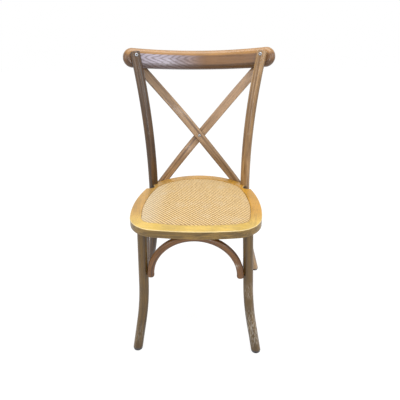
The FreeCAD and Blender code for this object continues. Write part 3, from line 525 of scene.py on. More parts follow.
def rail_frame():
    """Centre of the rail's bend, its backward and upward directions and the bolt's angle."""
    below, above = post_axis(rail_bolt_height - 1.0), post_axis(rail_bolt_height + 1.0)
    lean = math.atan2(above[1] - below[1], above[2] - below[2])
    back = row(0, math.cos(lean), -math.sin(lean))
    rise = row(0, math.sin(lean), math.cos(lean))
    post = post_axis(rail_bolt_height)
    reach = rail_bend_radius - (post_diameter / 2 - rail_housing_depth + rail_depth / 2)
    turn = math.asin(post[0] / reach)
    centre = row(0, post[1], post[2]) - back * (reach * math.cos(turn))
    return centre, back, rise, turn


rail_centre, rail_back, rail_rise, rail_bolt_turn = rail_frame()


def rail_point(turn, radius):
    """Point at an angle from the middle, on a circle about the centre of the rail's bend."""
    turn = np.asarray(turn, float)[..., None]
    across = row(1, 0, 0) * (radius * np.sin(turn))
    return rail_centre + across + rail_back * (radius * np.cos(turn))


def rail_end_turn():
    """Angle where the even part of the rail ends and its round end begins."""
    turn = 0.1
    for _ in range(30):
        reach = rail_bend_radius * math.sin(turn) + rail_height / 2 * math.cos(turn)
        turn += (rail_half_length - reach) / rail_bend_radius
    return turn


def top_rail(material):
    """Bent rail with round ends.

    The section is a flat oval: a half circle above and below, upright flats between. Along
    the even part it turns about the bend's centre. At each end its upper and lower halves
    fold outwards by the same angle, up to a quarter turn, and meet in the end's middle.
    """
    count = 72
    turn = np.linspace(0, 2 * np.pi, count, endpoint=False)
    r = rail_depth / 2 - 0.3
    flat = rail_height / 2 - r
    deep = r * np.cos(turn)
    high = r * np.sin(turn) + flat * np.clip(3.2 * np.sin(turn), -1, 1)
    high[np.abs(np.sin(turn)) < 1e-9] = 0.0
    end = rail_end_turn()
    fold = np.radians(np.linspace(90, 4, 20))
    middle = np.linspace(-end, end, 150)
    rings = []
    tones = []
    # Tone paints light and shade: painted light on the top band, painted shade along the
    # underside.
    lit_from = 14.5 + 2.5 * np.cos(turn)
    shade_below = -16.0
    tone = (np.clip((high - lit_from) / 8.0 + 0.5, 0, 1)
            - np.clip((shade_below - high) / 6.0 + 0.5, 0, 1))

    def outward(angle):
        return row(1, 0, 0) * math.sin(angle) + rail_back * math.cos(angle)

    def end_rings(side, folds):
        angle = side * end
        along = side * (row(1, 0, 0) * math.cos(angle) - rail_back * math.sin(angle))
        at = rail_point(angle, rail_bend_radius)
        for f in folds:
            lift = high[:, None] * (rail_rise * math.cos(f))
            away = np.abs(high)[:, None] * (along * math.sin(f))
            rings.append(at + deep[:, None] * outward(angle) + lift + away)
            tones.append(tone * math.cos(f) ** 0.7)

    end_rings(-1, fold)
    for angle in middle:
        slim = 1.0 - 0.018 * math.cos(angle / end * math.pi / 2) ** 2
        lift = high * slim + 0.4 * (1.0 - slim) * rail_height
        at = rail_point(angle, rail_bend_radius)
        rings.append(at + deep[:, None] * outward(angle) + lift[:, None] * rail_rise)
        tones.append(tone)
    end_rings(1, fold[::-1])
    rings = np.array(rings)
    along = lengths(rings[:, count // 4])
    steps = np.diff(np.stack([deep, high], -1), axis=0, append=0)
    girth = np.cumsum(np.linalg.norm(steps, axis=1))
    around = (np.concatenate([[0.0], girth[:-1]]) - girth[count // 2 - 1]) / 1000.0
    piece = skin("bent_top_rail", rings, along, around, material, np.array(tones), weld=True)
    return finish_piece(piece, "brown_oak", "top_rail", sharp=60.0)


# Crossed straps

strap_width = 30.0
strap_thickness = 10.0
strap_corner = 3.4
strap_gap = 0.15
strap_foot_half = 139.7
strap_foot_height = 442.0
strap_foot_back_slope = 0.6
strap_side_slope = 0.88
strap_head_past_bolt = 17.0
strap_foot_trim = 11.0
crossing_ease = 150.0
seat_back_radius = 204.25
seat_back_centre = 194.75


def rounded_box(width, height, radius, corner=7, flat=3):
    """Outline of a rectangle with round corners: its corner arcs joined by straight runs."""
    points = []
    for k, (sx, sy) in enumerate(((1, 1), (-1, 1), (-1, -1), (1, -1))):
        turn = np.linspace(0, np.pi / 2, corner) + k * np.pi / 2
        cx = sx * (width / 2 - radius)
        cy = sy * (height / 2 - radius)
        points.append(np.stack([cx + radius * np.cos(turn), cy + radius * np.sin(turn)], -1))
    outline = []
    for k in range(4):
        a, b = points[k][-1], points[(k + 1) % 4][0]
        share = np.linspace(0, 1, flat + 2)[1:-1, None]
        outline += [points[k], a + (b - a) * share]
    return np.concatenate(outline)


def hermite(s, length, start, end, start_slope, end_slope):
    """Cubic with given ends and end slopes."""
    return ((2 * s ** 3 - 3 * s ** 2 + 1) * start
            + (s ** 3 - 2 * s ** 2 + s) * length * start_slope
            + (-2 * s ** 3 + 3 * s ** 2) * end + (s ** 3 - s ** 2) * length * end_slope)


strap_head = rail_point(rail_bolt_turn, rail_bend_radius + rail_depth / 2 + strap_gap
                        + strap_thickness / 2)
rail_normal = unit(row(1, 0, 0) * math.sin(rail_bolt_turn) + rail_back * math.cos(rail_bolt_turn))


def strap_foot():
    """Centre of the strap's foot on the right and its outward direction."""
    reach = seat_back_radius + strap_gap + strap_thickness / 2
    y = seat_back_centre + math.sqrt(reach ** 2 - strap_foot_half ** 2)
    normal = unit(row(strap_foot_half, y - seat_back_centre, 0))
    return row(strap_foot_half, y, strap_foot_height), normal


def strap_line(z):
    """Centre line of the strap from the left foot to the right head."""
    foot, normal = strap_foot()
    z = np.asarray(z, float)
    length = strap_head[2] - foot[2]
    s = (z - foot[2]) / length
    x = hermite(s, length, -foot[0], strap_head[0], strap_side_slope, strap_side_slope)
    y = hermite(s, length, foot[1], strap_head[1], strap_foot_back_slope, 0.0)
    return np.stack([x, y, z], -1)


# The strap's centre line passes the middle plane at the height called crossing.
heights = np.linspace(strap_foot_height, rail_bolt_height, 20001)
crossing = float(np.interp(0.0, strap_line(heights)[:, 0], heights))
slope = strap_line([crossing - 1, crossing + 1])[:, 1]
crossing_normal = unit(row(0, 1, -(slope[1] - slope[0]) / 2))


def strap_faces(z):
    """Backward face directions of the strap, from foot through crossing to head."""
    foot, normal = strap_foot()
    normal = mirror(normal)
    u = ((z - foot[2]) / (strap_head[2] - foot[2]))[:, None]
    m = (crossing - foot[2]) / (strap_head[2] - foot[2])
    wanted = (normal * ((u - m) * (u - 1) / m) + crossing_normal * (u * (u - 1) / (m * (m - 1)))
              + rail_normal * (u * (u - m) / (1 - m)))
    tangent = unit(strap_line(z + 1) - strap_line(z - 1))
    wanted = wanted - tangent * np.einsum("ij,ij->i", wanted, tangent)[:, None]
    return unit(wanted), tangent


def cross_strap(name, side, material, node):
    """Bent flat strap: a rounded rectangle carried along its cubic line and turned with it.

    Beyond the bolt its half width is that of a circle about the bolt, so its head is round.
    """
    past = strap_head_past_bolt
    stop = strap_head[2]
    tangent_rise = strap_faces(np.array([stop]))[1][0, 2]
    curl = np.linspace(0, np.pi / 2 - 0.12, 12)
    z = np.concatenate([np.linspace(seat_under + 2.0, stop + past * 0.05, 150),
                        stop + past * tangent_rise * np.sin(curl)[1:]])
    reach = (z - stop) / tangent_rise
    inside = np.sqrt(np.clip(past ** 2 - reach ** 2, 1.0, None))
    half = np.where(reach > 0, np.minimum(strap_width / 2, inside), strap_width / 2)
    face, tangent = strap_faces(z)
    away = np.clip(np.abs(z - crossing) / crossing_ease, 0, 1)
    shift = side * (strap_thickness / 2 + strap_gap) * (1 + np.cos(np.pi * away)) / 2
    line = strap_line(z) + face * shift[:, None]
    across = np.cross(tangent, face)
    outline = rounded_box(strap_width, strap_thickness, strap_corner)
    scale = (half / (strap_width / 2))[:, None, None]
    rings = (line[:, None] + across[:, None] * outline[None, :, :1] * scale
             + face[:, None] * outline[None, :, 1:])
    foot, normal = strap_foot()
    foot, normal = mirror(foot), mirror(normal)
    outer = row(-normal[1], normal[0], 0)
    past_trim = np.clip((rings - foot) @ outer - strap_foot_trim, 0, None)
    low = np.clip((seat_under + 38.0 - rings[..., 2]) / 4.0, 0, 1)
    rings = rings - outer * (past_trim * low)[..., None]
    if side < 0:
        rings = mirror(rings)
    piece = skin(name, rings, lengths(line), lengths(outline), material)
    return finish_piece(piece, "brown_oak", node, sharp=50.0)


# Arches under the seat

arch_thickness = 20.5
arch_depth = 20.5
arch_corner = 9.0
arch_leg_clearance = 0.3
arch_contact_height = seat_under - 141.0


def arch_path(origin, direction, start_axis, start_radius, end_axis, end_radius, foot_run):
    """Centre line of an arch: a circle tangent to both legs and the seat, and straight feet.

    The feet run on along each leg, to a little below the circle's centre.
    """
    def along(axis, z):
        return float((axis(z) - origin) @ direction)

    zr, step = arch_contact_height, 5.0
    a1, a2 = along(start_axis, zr), along(end_axis, zr)
    b1 = (along(start_axis, zr + step) - along(start_axis, zr - step)) / (2 * step)
    b2 = (along(end_axis, zr + step) - along(end_axis, zr - step)) / (2 * step)
    s1, s2 = math.hypot(1, b1), math.hypot(1, b2)
    free = (a2 - a1 + (b2 - b1) * (seat_under - zr) - (end_radius + arch_leg_clearance) * s2
            - (start_radius + arch_leg_clearance) * s1)
    radius = free / (s1 + s2 + b2 - b1)
    centre_z = seat_under - radius
    centre_u = a1 + b1 * (centre_z - zr) + (radius + start_radius + arch_leg_clearance) * s1
    mid = radius - arch_thickness / 2
    start_turn = math.atan2(b1, -1)
    end_turn = math.atan2(-b2, 1)
    turn = np.linspace(start_turn if start_turn > 0 else start_turn + 2 * math.pi, end_turn, 90)
    u = centre_u + mid * np.cos(turn)
    z = centre_z + mid * np.sin(turn)
    foot = centre_z - foot_run
    first = z[0] - np.linspace(z[0] - foot, 1.5, 7)
    last = z[-1] - np.linspace(1.5, z[-1] - foot, 7)
    u = np.concatenate([u[0] - b1 * (z[0] - first), u, u[-1] - b2 * (z[-1] - last)])
    z = np.concatenate([first, z, last])
    out = unit(np.stack([np.gradient(z), -np.gradient(u)], -1))
    return u, z, (-out if out[len(out) // 2, 1] < 0 else out)


def bent_arch(name, material, node, origin, direction, *span, side=1):
    """Arch: a nearly round section carried along its path, drawn in at both ends."""
    u, z, out = arch_path(origin, direction, *span)
    base = row(origin[0], origin[1], 0)
    line = base + direction * u[:, None] + row(0, 0, 1) * z[:, None]
    outward = direction * out[:, :1] + row(0, 0, 1) * out[:, 1:]
    sideways = np.cross(direction, row(0, 0, 1))
    outline = rounded_box(arch_thickness, arch_depth, arch_corner)
    ends = 3.5
    run = lengths(line) * 1000.0
    body = (line[:, None] + outward[:, None] * outline[None, :, :1]
            + sideways * outline[None, :, 1:])
    heading = unit(np.gradient(line, axis=0))

    def tip(index, sign):
        rings = []
        for turn in np.radians((12, 30, 48, 64, 78, 88)):
            shrink = 1 - (ends / (arch_thickness / 2)) * (1 - math.cos(turn))
            forward = heading[index] * (sign * ends * (math.sin(turn) - 1))
            rings.append(line[index] + forward + outward[index] * outline[:, :1] * shrink
                         + sideways * outline[:, 1:] * shrink)
        return np.array(rings)

    inner = np.minimum(run, run[-1] - run) > ends + 0.5
    rings = np.concatenate([tip(0, -1)[::-1], body[inner], tip(-1, 1)])
    if side < 0:
        rings = mirror(rings)
    piece = skin(name, rings, lengths(rings.mean(1)), lengths(outline), material)
    return finish_piece(piece, "brown_oak", node, sharp=60.0)


# Seat frame

hub = row(0.0, 399.0 * 0.44)
front_joint = math.radians(-39.4)
rear_joint = math.radians(63.0)
notch_centre = row(166.0, 298.7)
notch_radius = 15.0
horn_tip_half = 157.0
cove_height = 443.0
ledge_width = 14.0
under_round = 2.6
top_round = 2.2
opening_round = 1.2


def circle_through(a, b, c):
    """Centre and radius of the circle through three plan points."""
    m = np.array([b - a, c - b]) * 2
    k = np.array([b @ b - a @ a, c @ c - b @ b])
    centre = np.linalg.solve(m, k)
    return centre, float(np.linalg.norm(a - centre))


def plan_arcs(front, back, wide, wide_at, front_corner, rear_corner):
    """Circles of a seat-shaped plan: front bow, side and back."""
    fc, rc = row(*front_corner), row(*rear_corner)
    flip = row(-1, 1)
    return (circle_through(fc * flip, row(0, front), fc),
            circle_through(fc, row(wide, wide_at), rc),
            circle_through(rc, row(0, back), rc * flip), fc, rc)


def fillet_between(first, second, corner, radius):
    """Centre of the circle that touches two plan circles from inside, near their corner."""
    (c1, r1), (c2, r2) = first, second
    a, b = r1 - radius, r2 - radius
    d = np.linalg.norm(c2 - c1)
    x = (a * a - b * b + d * d) / (2 * d)
    y = math.sqrt(max(a * a - x * x, 0.0))
    e = (c2 - c1) / d
    n = row(-e[1], e[0])
    options = [c1 + e * x + n * y, c1 + e * x - n * y]
    return min(options, key=lambda p: np.linalg.norm(p - corner))


def plan_reach(turn, plan, front_radius, rear_radius):
    """Distance from the hub to a rounded plan's edge, by direction, on the right side.

    It follows the front bow, the side and the back in turn, rounded by the corner circles.
    """
    front, side, back, front_corner, rear_corner = plan
    ray = np.stack([np.cos(turn), np.sin(turn)], -1)

    def hit(circle):
        centre, radius = circle
        to = hub - centre
        b = ray @ to
        return -b + np.sqrt(np.clip(b * b - (to @ to - radius * radius), 0, None))

    turns = [math.atan2(c[1] - hub[1], c[0] - hub[0]) for c in (front_corner, rear_corner)]
    reach = np.where(turn < turns[0], hit(front), np.where(turn < turns[1], hit(side), hit(back)))
    for pair, corner, radius in (((front, side), front_corner, front_radius),
                                 ((side, back), rear_corner, rear_radius)):
        centre = fillet_between(*pair, corner, radius)
        ends = []
        for circle_centre, circle_radius in pair:
            touch = circle_centre + unit(centre - circle_centre) * circle_radius
            ends.append(math.atan2(touch[1] - hub[1], touch[0] - hub[0]))
        low, high = min(ends), max(ends)
        reach = np.where((turn > low) & (turn < high), hit((centre, radius)), reach)
    return reach


seat_plan = plan_arcs(0.0, 399.0, 199.0, 151.0, (180.0, 20.0), (170.0, 304.0))
opening_plan = plan_arcs(36.2, 369.7, 165.8, 151.0, (155.0, 54.5), (139.0, 303.0))


def half_turn(turn):
    """Directions folded onto the right side."""
    return np.arctan2(np.sin(turn), np.abs(np.cos(turn)))


def outer_reach(turn):
    """Distance from the hub to the frame's outer edge, with notch and post cove."""
    turn = half_turn(turn)
    reach = plan_reach(turn, seat_plan, 86.0, 100.0)
    ray = np.stack([np.cos(turn), np.sin(turn)], -1)

    def enter(centre, radius):
        to = hub - centre
        b = ray @ to
        gap = b * b - (to @ to - radius * radius)
        return np.where(gap > 0, -b - np.sqrt(np.clip(gap, 0, None)), 1e9)

    notch = enter(notch_centre, notch_radius)
    front = notch_centre[1] - notch_radius
    shelf = np.where(np.sin(turn) > 0.1, (front - hub[1]) / np.clip(np.sin(turn), 0.1, 1), 1e9)
    at = hub[0] + shelf * np.cos(turn)
    shelf = np.where(at > notch_centre[0], shelf, 1e9)
    tip = horn_tip_half / np.clip(np.cos(turn), 0.05, 1)
    at = hub[1] + tip * np.sin(turn)
    tip = np.where((at > notch_centre[1]) & (at < post_from_front), tip, 1e9)
    cove = enter(post_axis(cove_height)[:2], post_diameter / 2 + 0.25)
    return np.minimum.reduce([reach, notch, shelf, tip, cove])


def opening_reach(turn, inward=0.0):
    """Distance from the hub to the opening's edge."""
    return plan_reach(half_turn(turn), opening_plan, 35.0, 30.0) - inward


def ring_directions(start, stop):
    """Directions along a stretch of the frame, closer together at notch and cove."""
    turn = np.linspace(start, stop, 4001)
    folded = half_turn(turn)
    density = 1.0 + 9.0 * ((folded > math.radians(30.5)) & (folded < math.radians(51)))
    density += 2.0 * ((folded > math.radians(-60)) & (folded < math.radians(-20)))
    run = np.concatenate([[0], np.cumsum((density[1:] + density[:-1]) / 2)])
    count = int(90 + 70 * run[-1] / 4000)
    return np.interp(np.linspace(0, run[-1], count), run, turn)


def frame_rail(name, start, stop, material, node):
    """One rail of the seat frame, from joint to joint.

    A section lies along each direction from the hub. It runs up the rounded outer edge,
    over the flat top, down the opening's eased edge to the ledge, and back underneath.
    """
    gap = 0.00045
    turn = ring_directions(start + gap, stop - gap)
    ray = np.stack([np.cos(turn), np.sin(turn)], -1)
    out = outer_reach(turn)
    edge = opening_reach(turn)
    ledge = edge - ledge_width
    lower, upper, inner = under_round, top_round, opening_round
    quarter = np.linspace(0, np.pi / 2, 6)
    # The third value of each section point is its tone, painted light: lit on the flat top, a
    # painted highlight on the upper rounded edge, fading down the opening's edge; the outer side
    # and underside keep the wood's brown.
    section = [(ledge, seat_under, 0.0), (ledge + 4.0, seat_under, 0.0)]
    for share in (0.25, 0.5, 0.75):
        section.append((ledge + (out - lower - ledge) * share, seat_under, 0.0))
    for t in quarter:
        section.append((out - lower + lower * np.sin(t),
                        seat_under + lower - lower * np.cos(t), 0.0))
    for share in (0.35, 0.7):
        section.append((out, seat_under + 3.0 + share * 20.0, 0.0))
    # Painted highlight: tone above one on the upper rounded edge.
    for t in quarter:
        section.append((out - upper + upper * np.cos(t),
                        seat_top - upper + upper * np.sin(t), 0.3 + 1.5 * math.sin(2 * t)
                        if t < 1.2 else 1.0))
    for share in (0.8, 0.6, 0.4, 0.2):
        section.append((edge + inner + (out - upper - edge - inner) * share, seat_top, 1.0))
    for t in quarter:
        section.append((edge + inner - inner * np.sin(t),
                        seat_top - inner + inner * np.cos(t), 1.0))
    section += [(edge, (seat_top + ledge_top) / 2, 0.6), (edge, ledge_top, 0.3),
                (ledge, ledge_top, 0.3), (ledge, (ledge_top + seat_under) / 2, 0.0)]
    rings = np.zeros((len(turn), len(section), 3))
    tone = np.zeros((len(turn), len(section)))
    for k, (reach, height, lit) in enumerate(section):
        rings[:, k, :2] = hub + ray * np.broadcast_to(reach, turn.shape)[:, None]
        rings[:, k, 2] = height
        tone[:, k] = lit
    around = lengths(rings[len(turn) // 2])
    along = lengths(rings[:, 15])
    piece = skin(name, rings, along, around, material, tone)
    return finish_piece(piece, "golden_oak", node, sharp=38.0)


# Woven cane

cell = 2.9
strand_rise = 0.5
strand_steps = 200


def weave_wave(x, y):
    """Over and under of a slanting weave, two strands over and two under, from -1 to 1."""
    return np.tanh(1.7 * np.sin(np.pi / 2 * (x / cell + y / cell)))


def panel_dip(x, y):
    """How far the cane sinks towards its edge, and the room left to the edge."""
    to = np.stack([x, y], -1) - hub
    turn = np.arctan2(to[..., 1], to[..., 0])
    room = opening_reach(turn, 0.5) - np.linalg.norm(to, axis=-1)
    return 1.9 * np.clip(1 - room / 6.5, 0, 1) ** 2, room


def strand_span(fixed, lengthwise):
    """Where a straight strand enters and leaves the opening."""
    t = np.linspace(-230, 230, 4601) + (0 if lengthwise == 0 else hub[1])
    x, y = (t, np.full_like(t, fixed)) if lengthwise == 0 else (np.full_like(t, fixed), t)
    inside = panel_dip(x, y)[1] > 0
    if inside.sum() < 60:
        return None
    return t[inside][0], t[inside][-1]


def cane_layer(name, lengthwise, bright, material):
    """All strands that run one way.

    A strand is a low arched strip. Its height along its run is the weave's wave, up for one
    layer where it is down for the other, less the dip towards the opening's edge. Its tone is
    the layer's brightness and a little of its own, with a painted highlight where it lies on
    top and painted shade where it dips under.
    """
    rng = np.random.default_rng(7 + lengthwise)
    across = row(-0.45, -0.17, 0.17, 0.45) * cell
    crown = row(-0.55, 0.0, 0.0, -0.55)
    wide = len(across)
    points, uvs, tones = [], [], []
    steps = strand_steps
    start = -230 if lengthwise == 1 else 0
    for number in range(210):
        fixed = start + (number + 0.5) * cell
        span = strand_span(fixed, lengthwise)
        if span is None:
            continue
        t = np.linspace(span[0], span[1], steps)
        run, side = np.meshgrid(t, fixed + across, indexing="ij")
        x, y = (run, side) if lengthwise == 0 else (side, run)
        cx, cy = (t, np.full(steps, fixed)) if lengthwise == 0 else (np.full(steps, fixed), t)
        wave = weave_wave(cx, cy) * (1 if lengthwise == 1 else -1)
        dip = panel_dip(cx, cy)[0]
        z = (seat_top - 0.75 - dip + strand_rise * wave)[:, None] + crown[None, :]
        points.append(np.stack([x, y, z], -1))
        uvs.append(np.stack([run / 1000.0, side / 1000.0 + 0.013 * number], -1))
        strand = rng.uniform(-0.06, 0.06) + bright
        # Painted highlight where the strand lies on top, painted shade where it dips under.
        tones.append(np.full((steps, wide), strand) + 0.3 * wave[:, None])
    points, uvs, tones = np.array(points), np.array(uvs), np.array(tones)
    count = len(points)
    s, i, j = np.meshgrid(np.arange(count), np.arange(steps - 1), np.arange(wide - 1),
                          indexing="ij")
    base = s * steps * wide
    quads = np.stack([base + i * wide + j, base + (i + 1) * wide + j,
                      base + (i + 1) * wide + j + 1, base + i * wide + j + 1],
                     -1).reshape(-1, 4)
    verts = metres(points.reshape(-1, 3))
    a, b, c = (verts[quads[0, k]] for k in range(3))
    if np.cross(b - a, c - a)[2] < 0:
        quads = quads[:, ::-1]
    loops = quads.reshape(-1)
    uv = uvs.reshape(-1, 2)[loops]
    piece = solid_mesh(name, verts, loops, np.arange(len(quads)) * 4, uv, material,
                       tones.reshape(-1), False)
    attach(piece, "root")
    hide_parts("woven_cane_panel")
    return piece


# Bolts and glides

def lathe(name, origin, axis, profile, corners, material, ring=36):
    """Surface of revolution about an axis; stretches marked as cornered are six-sided."""
    axis = unit(row(*axis))
    helper = row(0, 0, 1) if abs(axis[2]) < 0.9 else row(1, 0, 0)
    first = unit(np.cross(axis, helper))
    second = np.cross(axis, first)
    turn = np.linspace(0, 2 * np.pi, ring, endpoint=False)
    flat = 1.0 / np.cos((turn + np.pi / 6) % (np.pi / 3) - np.pi / 6)
    rings = []
    for (radius, height), cornered in zip(profile, corners):
        size = radius * (flat if cornered else 1.0) * np.ones(ring)
        rings.append(row(*origin) + axis * height
                     + first * (np.cos(turn) * size)[:, None]
                     + second * (np.sin(turn) * size)[:, None])
    rings = np.array(rings)
    along = lengths(np.array([[r, h, 0.0] for r, h in profile]))
    return skin(name, rings, along, turn * 0.005, material)


def bolt_profile(head, length):
    """Low domed head with a six-sided socket, and a plain shank."""
    dome = [(head * 0.62, 0.0), (head * 0.80, 0.25), (head * 0.93, 0.8), (head * 0.995, 1.6)]
    profile = [(1.1, 2.3), (2.0, 2.2), (2.0, 0.15), (2.35, 0.0)] + dome
    profile += [(head, 3.2), (head - 0.3, 3.6), (3.0, 3.6), (3.0, length - 0.5), (2.5, length)]
    corners = [True, True, True, False] + [False] * (len(profile) - 4)
    return profile, corners


def make_bolts(steel):
    """Rail bolts, the bolt at the crossing and the bolts through the posts."""
    def pair(word, head, axis, length, node):
        for side, hand in ((1, "right"), (-1, "left")):
            flip = row(side, 1, 1)
            piece = lathe(f"{word}_{hand}", head * flip, axis * flip, *bolt_profile(5.6, length),
                          steel)
            finish_piece(piece, "steel", node)

    head = post_axis(rail_bolt_height) - rail_normal * (post_diameter / 2 - 1.6 + 3.6)
    strap_back = strap_head + rail_normal * (strap_thickness / 2 + strap_gap)
    pair("rail_bolt", head, rail_normal, float((strap_back - head) @ rail_normal) + 1.2 + 5.0,
         "rail_bolts")
    half = strap_thickness + strap_gap
    head = strap_line(crossing) * row(0, 1, 1) - crossing_normal * (half + 2.0)
    piece = lathe("crossing_bolt", head, crossing_normal,
                  *bolt_profile(5.0, 2 * half + 2.0 + 5.0), steel)
    finish_piece(piece, "steel", "cross_bolt")
    turn = math.radians(54.4)
    outward = row(math.sin(turn), math.cos(turn), 0)
    head = post_axis(seat_under + 7.5) + outward * (post_diameter / 2 + 2.0)
    pair("post_bolt", head, -outward, 52.0, "post_seat_bolts")


def make_glides(plastic):
    """Low domed glides under the four feet."""
    profile = [(6.0, 0.0), (10.6, 0.0), (12.0, 0.35), (13.3, 1.2), (14.2, 2.4), (14.5, 3.6),
               (14.5, 5.2), (14.1, 5.8), (13.4, 6.0), (7.0, 6.0)]
    corners = [False] * len(profile)
    for word, axis in (("front", leg_axis), ("rear", post_axis)):
        at = axis(glide_height) * row(1, 1, 0)
        for side, hand in ((1, "right"), (-1, "left")):
            piece = lathe(f"glide_{word}_{hand}", at * row(side, 1, 1), (0, 0, 1), profile,
                          corners, plastic)
            finish_piece(piece, "glide_plastic", f"{word}_glide_{hand}")


# The chair

def board_grain(turn):
    """Straight board grain in space, turned about the upright axis."""
    def vector(recipe):
        return recipe.stretched(recipe.place(), (1, 1, 1), rotation=(0.05, 0.03, turn))
    return vector


def make_chair():
    """Every visible piece of the chair."""
    def oak(word, dark, light, **rest):
        return stained_oak(f"stained oak, {word}", colour(*dark), colour(*light), **rest)

    brown = oak("legs", (62, 42, 10), (108, 80, 28), seed=1.0,
                scuffs=[((166, 22, 235), 40, 0.45), ((182, 8, 100), 100, 0.75),
                        ((-184, 6, 70), 50, 0.25)])
    # Posts: the dark points at the seat notches are painted shadows.
    post_left = oak("left post", (47, 28, 9), (96, 64, 24), seed=2.0, coat=0.4,
                    scuffs=[((-164, 314, 640), 9, 0.9)], stains=[((-159, 312, 446), 13, 0.85)])
    # Painted light: the right post is coloured far paler than the left, for the light falling on
    # it.
    post_right = oak("right post", (114, 82, 45), (188, 148, 97), seed=3.0, coat=0.5,
                     scuffs=[((164, 314, 638), 9, 0.9)], stains=[((159, 312, 446), 13, 0.85)])
    front_strap = oak("front strap", (108, 81, 55), (180, 146, 108), seed=4.0)
    rear_strap = oak("rear strap", (110, 80, 52), (184, 148, 108), seed=4.5,
                     patch=(0.0, 0.07, colour(206, 170, 136)))
    # Rail: the top colour is painted light on the top band.
    rail = oak("top rail", (90, 60, 36), (148, 107, 66), top=colour(174, 126, 66), seed=5.0,
               # painted reflection: lilac-grey on the front face's left part, with grain lines
               figure=(colour(176, 168, 182), 0.5), gloss=(0.24, 0.42))
    arches = oak("arches", (70, 40, 12), (128, 82, 28), seed=6.0,
                 scuffs=[((118, 24, 330), 16, 0.9)])
    sides = {}
    # The frame's gold upper faces are painted light on its brown wood.
    for word, turn in (("front", 0.12), ("left", 1.45), ("right", 1.75), ("rear", -0.05)):
        sides[word] = stained_oak(f"golden oak, {word} rail", colour(93, 71, 26),
                                  colour(146, 114, 49), top=painted_lit_gold, seed=7.0 + turn,
                                  grain_vector=board_grain(turn))
    cane = cane_strands("split cane", colour(226, 195, 134), colour(150, 109, 54))
    browned = turned_steel("browned steel", colour(58, 46, 36), (0.40, 0.60))
    steel = turned_steel("bright steel", colour(160, 164, 170), (0.30, 0.45))
    plastic = glide_plastic("glide plastic", colour(96, 98, 104), colour(40, 42, 46))
    board = plain_wood("seat board wood", colour(120, 88, 52), colour(88, 62, 36))
    inner = plain_wood("loose tenon wood", colour(206, 176, 132), colour(172, 142, 100))

    top_rail(rail)
    cross_strap("strap_from_right", 1, rear_strap, "cross_strap_rear")
    cross_strap("strap_from_left", -1, front_strap, "cross_strap_front")
    for side, hand, wood in ((1, "right", post_right), (-1, "left", post_left)):
        piece = round_bar(f"post_{hand}", post_axis, glide_height, post_top_height,
                          post_diameter / 2, wood, False, side)
        finish_piece(piece, "brown_oak", f"back_post_{hand}", sharp=50.0)
        piece = round_bar(f"leg_{hand}", leg_axis, glide_height, seat_under, leg_diameter / 2,
                          brown, True, side)
        finish_piece(piece, "brown_oak", f"front_leg_{hand}", sharp=50.0)
    make_arches(arches)
    for word, start, stop, node in (
            ("front", -math.pi - front_joint, front_joint, "seat_front_rail"),
            ("right", front_joint, rear_joint, "seat_side_rail_right"),
            ("rear", rear_joint, math.pi - rear_joint, "seat_rear_rail"),
            ("left", math.pi - rear_joint, math.pi - front_joint, "seat_side_rail_left")):
        frame_rail(f"frame_{word}", start, stop, sides[word], node)
    cane_layer("cane_lengthwise", 1, 0.02, cane)
    cane_layer("cane_crosswise", 0, 0.75, cane)
    make_bolts(steel)
    make_glides(plastic)
    kept = {"seat_board": board, "seat_frame_tenons": inner, "arch_end_screws": browned}
    kept.update(dict.fromkeys(("rail_washers", "rail_nuts", "cross_nut", "strap_foot_screws",
                               "arch_crown_screws", "seat_board_screws", "glide_pins"), steel))
    for name, material in kept.items():
        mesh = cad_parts[name].data
        mesh.materials.clear()
        mesh.materials.append(material)


def make_arches(wood):
    """Front, rear and side arches."""
    level = arch_contact_height

    def left(axis):
        return lambda z: mirror(axis(z))

    forward = 10.0  # the front arch stands this far before the legs' middles
    miss = forward - (arch_depth / 2 - arch_corner)
    reach = math.sqrt((leg_diameter / 2 + arch_corner) ** 2 - miss ** 2) - arch_corner
    y = leg_axis(level)[1] - forward
    bent_arch("arch_front", wood, "front_arch", row(0, y, 0), row(1, 0, 0), left(leg_axis), reach,
              leg_axis, reach, 3.0)
    y = post_axis(level)[1] + 6.0
    bent_arch("arch_rear", wood, "rear_arch", row(0, y, 0), row(1, 0, 0), left(post_axis),
              post_diameter / 2, post_axis, post_diameter / 2, 8.0)
    a = leg_axis(level) - row(6, 0, 0)
    b = post_axis(level) - row(6, 0, 0)
    direction = unit((b - a) * row(1, 1, 0))
    for side, hand in ((1, "right"), (-1, "left")):
        bent_arch(f"arch_{hand}", wood, f"side_arch_{hand}", a, direction, leg_axis,
                  leg_diameter / 2, post_axis, post_diameter / 2, 32.0, side=side)


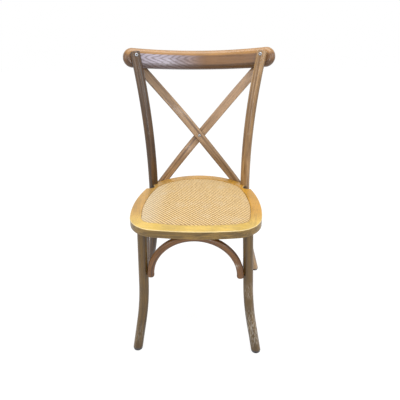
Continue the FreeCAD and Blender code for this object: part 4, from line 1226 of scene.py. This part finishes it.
def make_stage():
    """Pale floor, soft lamps and even surroundings, white to the camera and in reflections."""
    mesh = bpy.data.meshes.new("floor")
    size = 6.0
    mesh.from_pydata([(-size, -size, 0), (size, -size, 0), (size, size, 0), (-size, size, 0)], [],
                     [(0, 1, 2, 3)])
    floor = put("floor", mesh)
    made = Recipe("pale floor")
    shade = made.noise(made.place(), scale=3.0)
    tint = made.mix(shade, (0.78, 0.78, 0.78, 1), (0.80, 0.80, 0.80, 1))
    made.shader.inputs["Roughness"].default_value = 0.9
    seen = made.nodes.new("ShaderNodeLightPath").outputs["Is Camera Ray"]
    made.links.new(made.product(seen, 0.86), made.shader.inputs["Emission Strength"])
    made.shader.inputs["Emission Color"].default_value = (1.0, 1.0, 1.0, 1.0)
    made.links.new(made.mix(seen, tint, (0.20, 0.20, 0.20, 1)), made.shader.inputs["Base Color"])
    mesh.materials.append(made.material)
    world = bpy.data.worlds.new("studio")
    bpy.context.scene.world = world
    world.use_nodes = True
    nodes, links = world.node_tree.nodes, world.node_tree.links
    background, seen = nodes["Background"], nodes.new("ShaderNodeBackground")
    for back, strength in ((background, 0.55), (seen, 1.0)):
        back.inputs["Color"].default_value = (1.0, 1.0, 1.0, 1.0)
        back.inputs["Strength"].default_value = strength
    path = nodes.new("ShaderNodeLightPath")
    share = path.outputs["Is Camera Ray"]
    for ray in ("Is Glossy Ray", "Is Transmission Ray"):
        both = nodes.new("ShaderNodeMath")
        both.use_clamp = True
        links.new(share, both.inputs[0])
        links.new(path.outputs[ray], both.inputs[1])
        share = both.outputs[0]
    join = nodes.new("ShaderNodeMixShader")
    links.new(share, join.inputs[0])
    links.new(background.outputs[0], join.inputs[1])
    links.new(seen.outputs[0], join.inputs[2])
    links.new(join.outputs[0], nodes["World Output"].inputs["Surface"])
    lamps = (("top", (0.1, -0.1, 2.6), (0, 0, 0.4), (1.8, 1.8), 36.0),
             ("left", (-2.0, -1.6, 1.7), (0, 0, 0.5), (1.4, 1.4), 14.0),
             ("right", (2.2, -1.2, 1.9), (0, 0, 0.5), (1.2, 1.2), 14.0),
             ("strip", (0.75, -2.9, 1.5), (0, 0, 0.9), (0.14, 2.2), 18.0))
    for name, place, target, size, power in lamps:
        data = bpy.data.lights.new(name, "AREA")
        data.shape = "RECTANGLE"
        data.size, data.size_y = size
        data.energy = power
        lamp = put(name, data)
        lamp.location = place
        aim = Vector(target) - Vector(place)
        lamp.rotation_euler = aim.to_track_quat("-Z", "Y").to_euler()


def make_camera():
    """Camera at the photograph's viewpoint."""
    data = bpy.data.cameras.new("view")
    data.sensor_fit = "HORIZONTAL"
    data.sensor_width = 36.0
    data.lens = 385.6 / 400.0 * 36.0
    data.clip_start, data.clip_end = 0.01, 100.0
    camera = put("view", data)
    yaw, pitch, roll = (math.radians(a) for a in (-2.6, -26.5, -0.7))
    forward = row(math.sin(yaw) * math.cos(pitch), math.cos(yaw) * math.cos(pitch),
                  math.sin(pitch))
    right = row(math.cos(yaw), -math.sin(yaw), 0)
    above = np.cross(right, forward)
    matrix = np.eye(4)
    matrix[:3, 0] = right * math.cos(roll) + above * math.sin(roll)
    matrix[:3, 1] = above * math.cos(roll) - right * math.sin(roll)
    matrix[:3, 2] = -forward
    matrix[:3, 3] = metres(row(58.8, -903.8, 1006.0))
    camera.matrix_world = Matrix(matrix.tolist())
    bpy.context.scene.camera = camera


make_camera()
make_stage()
make_chair()
bpy.context.scene.view_settings.view_transform = "Standard"
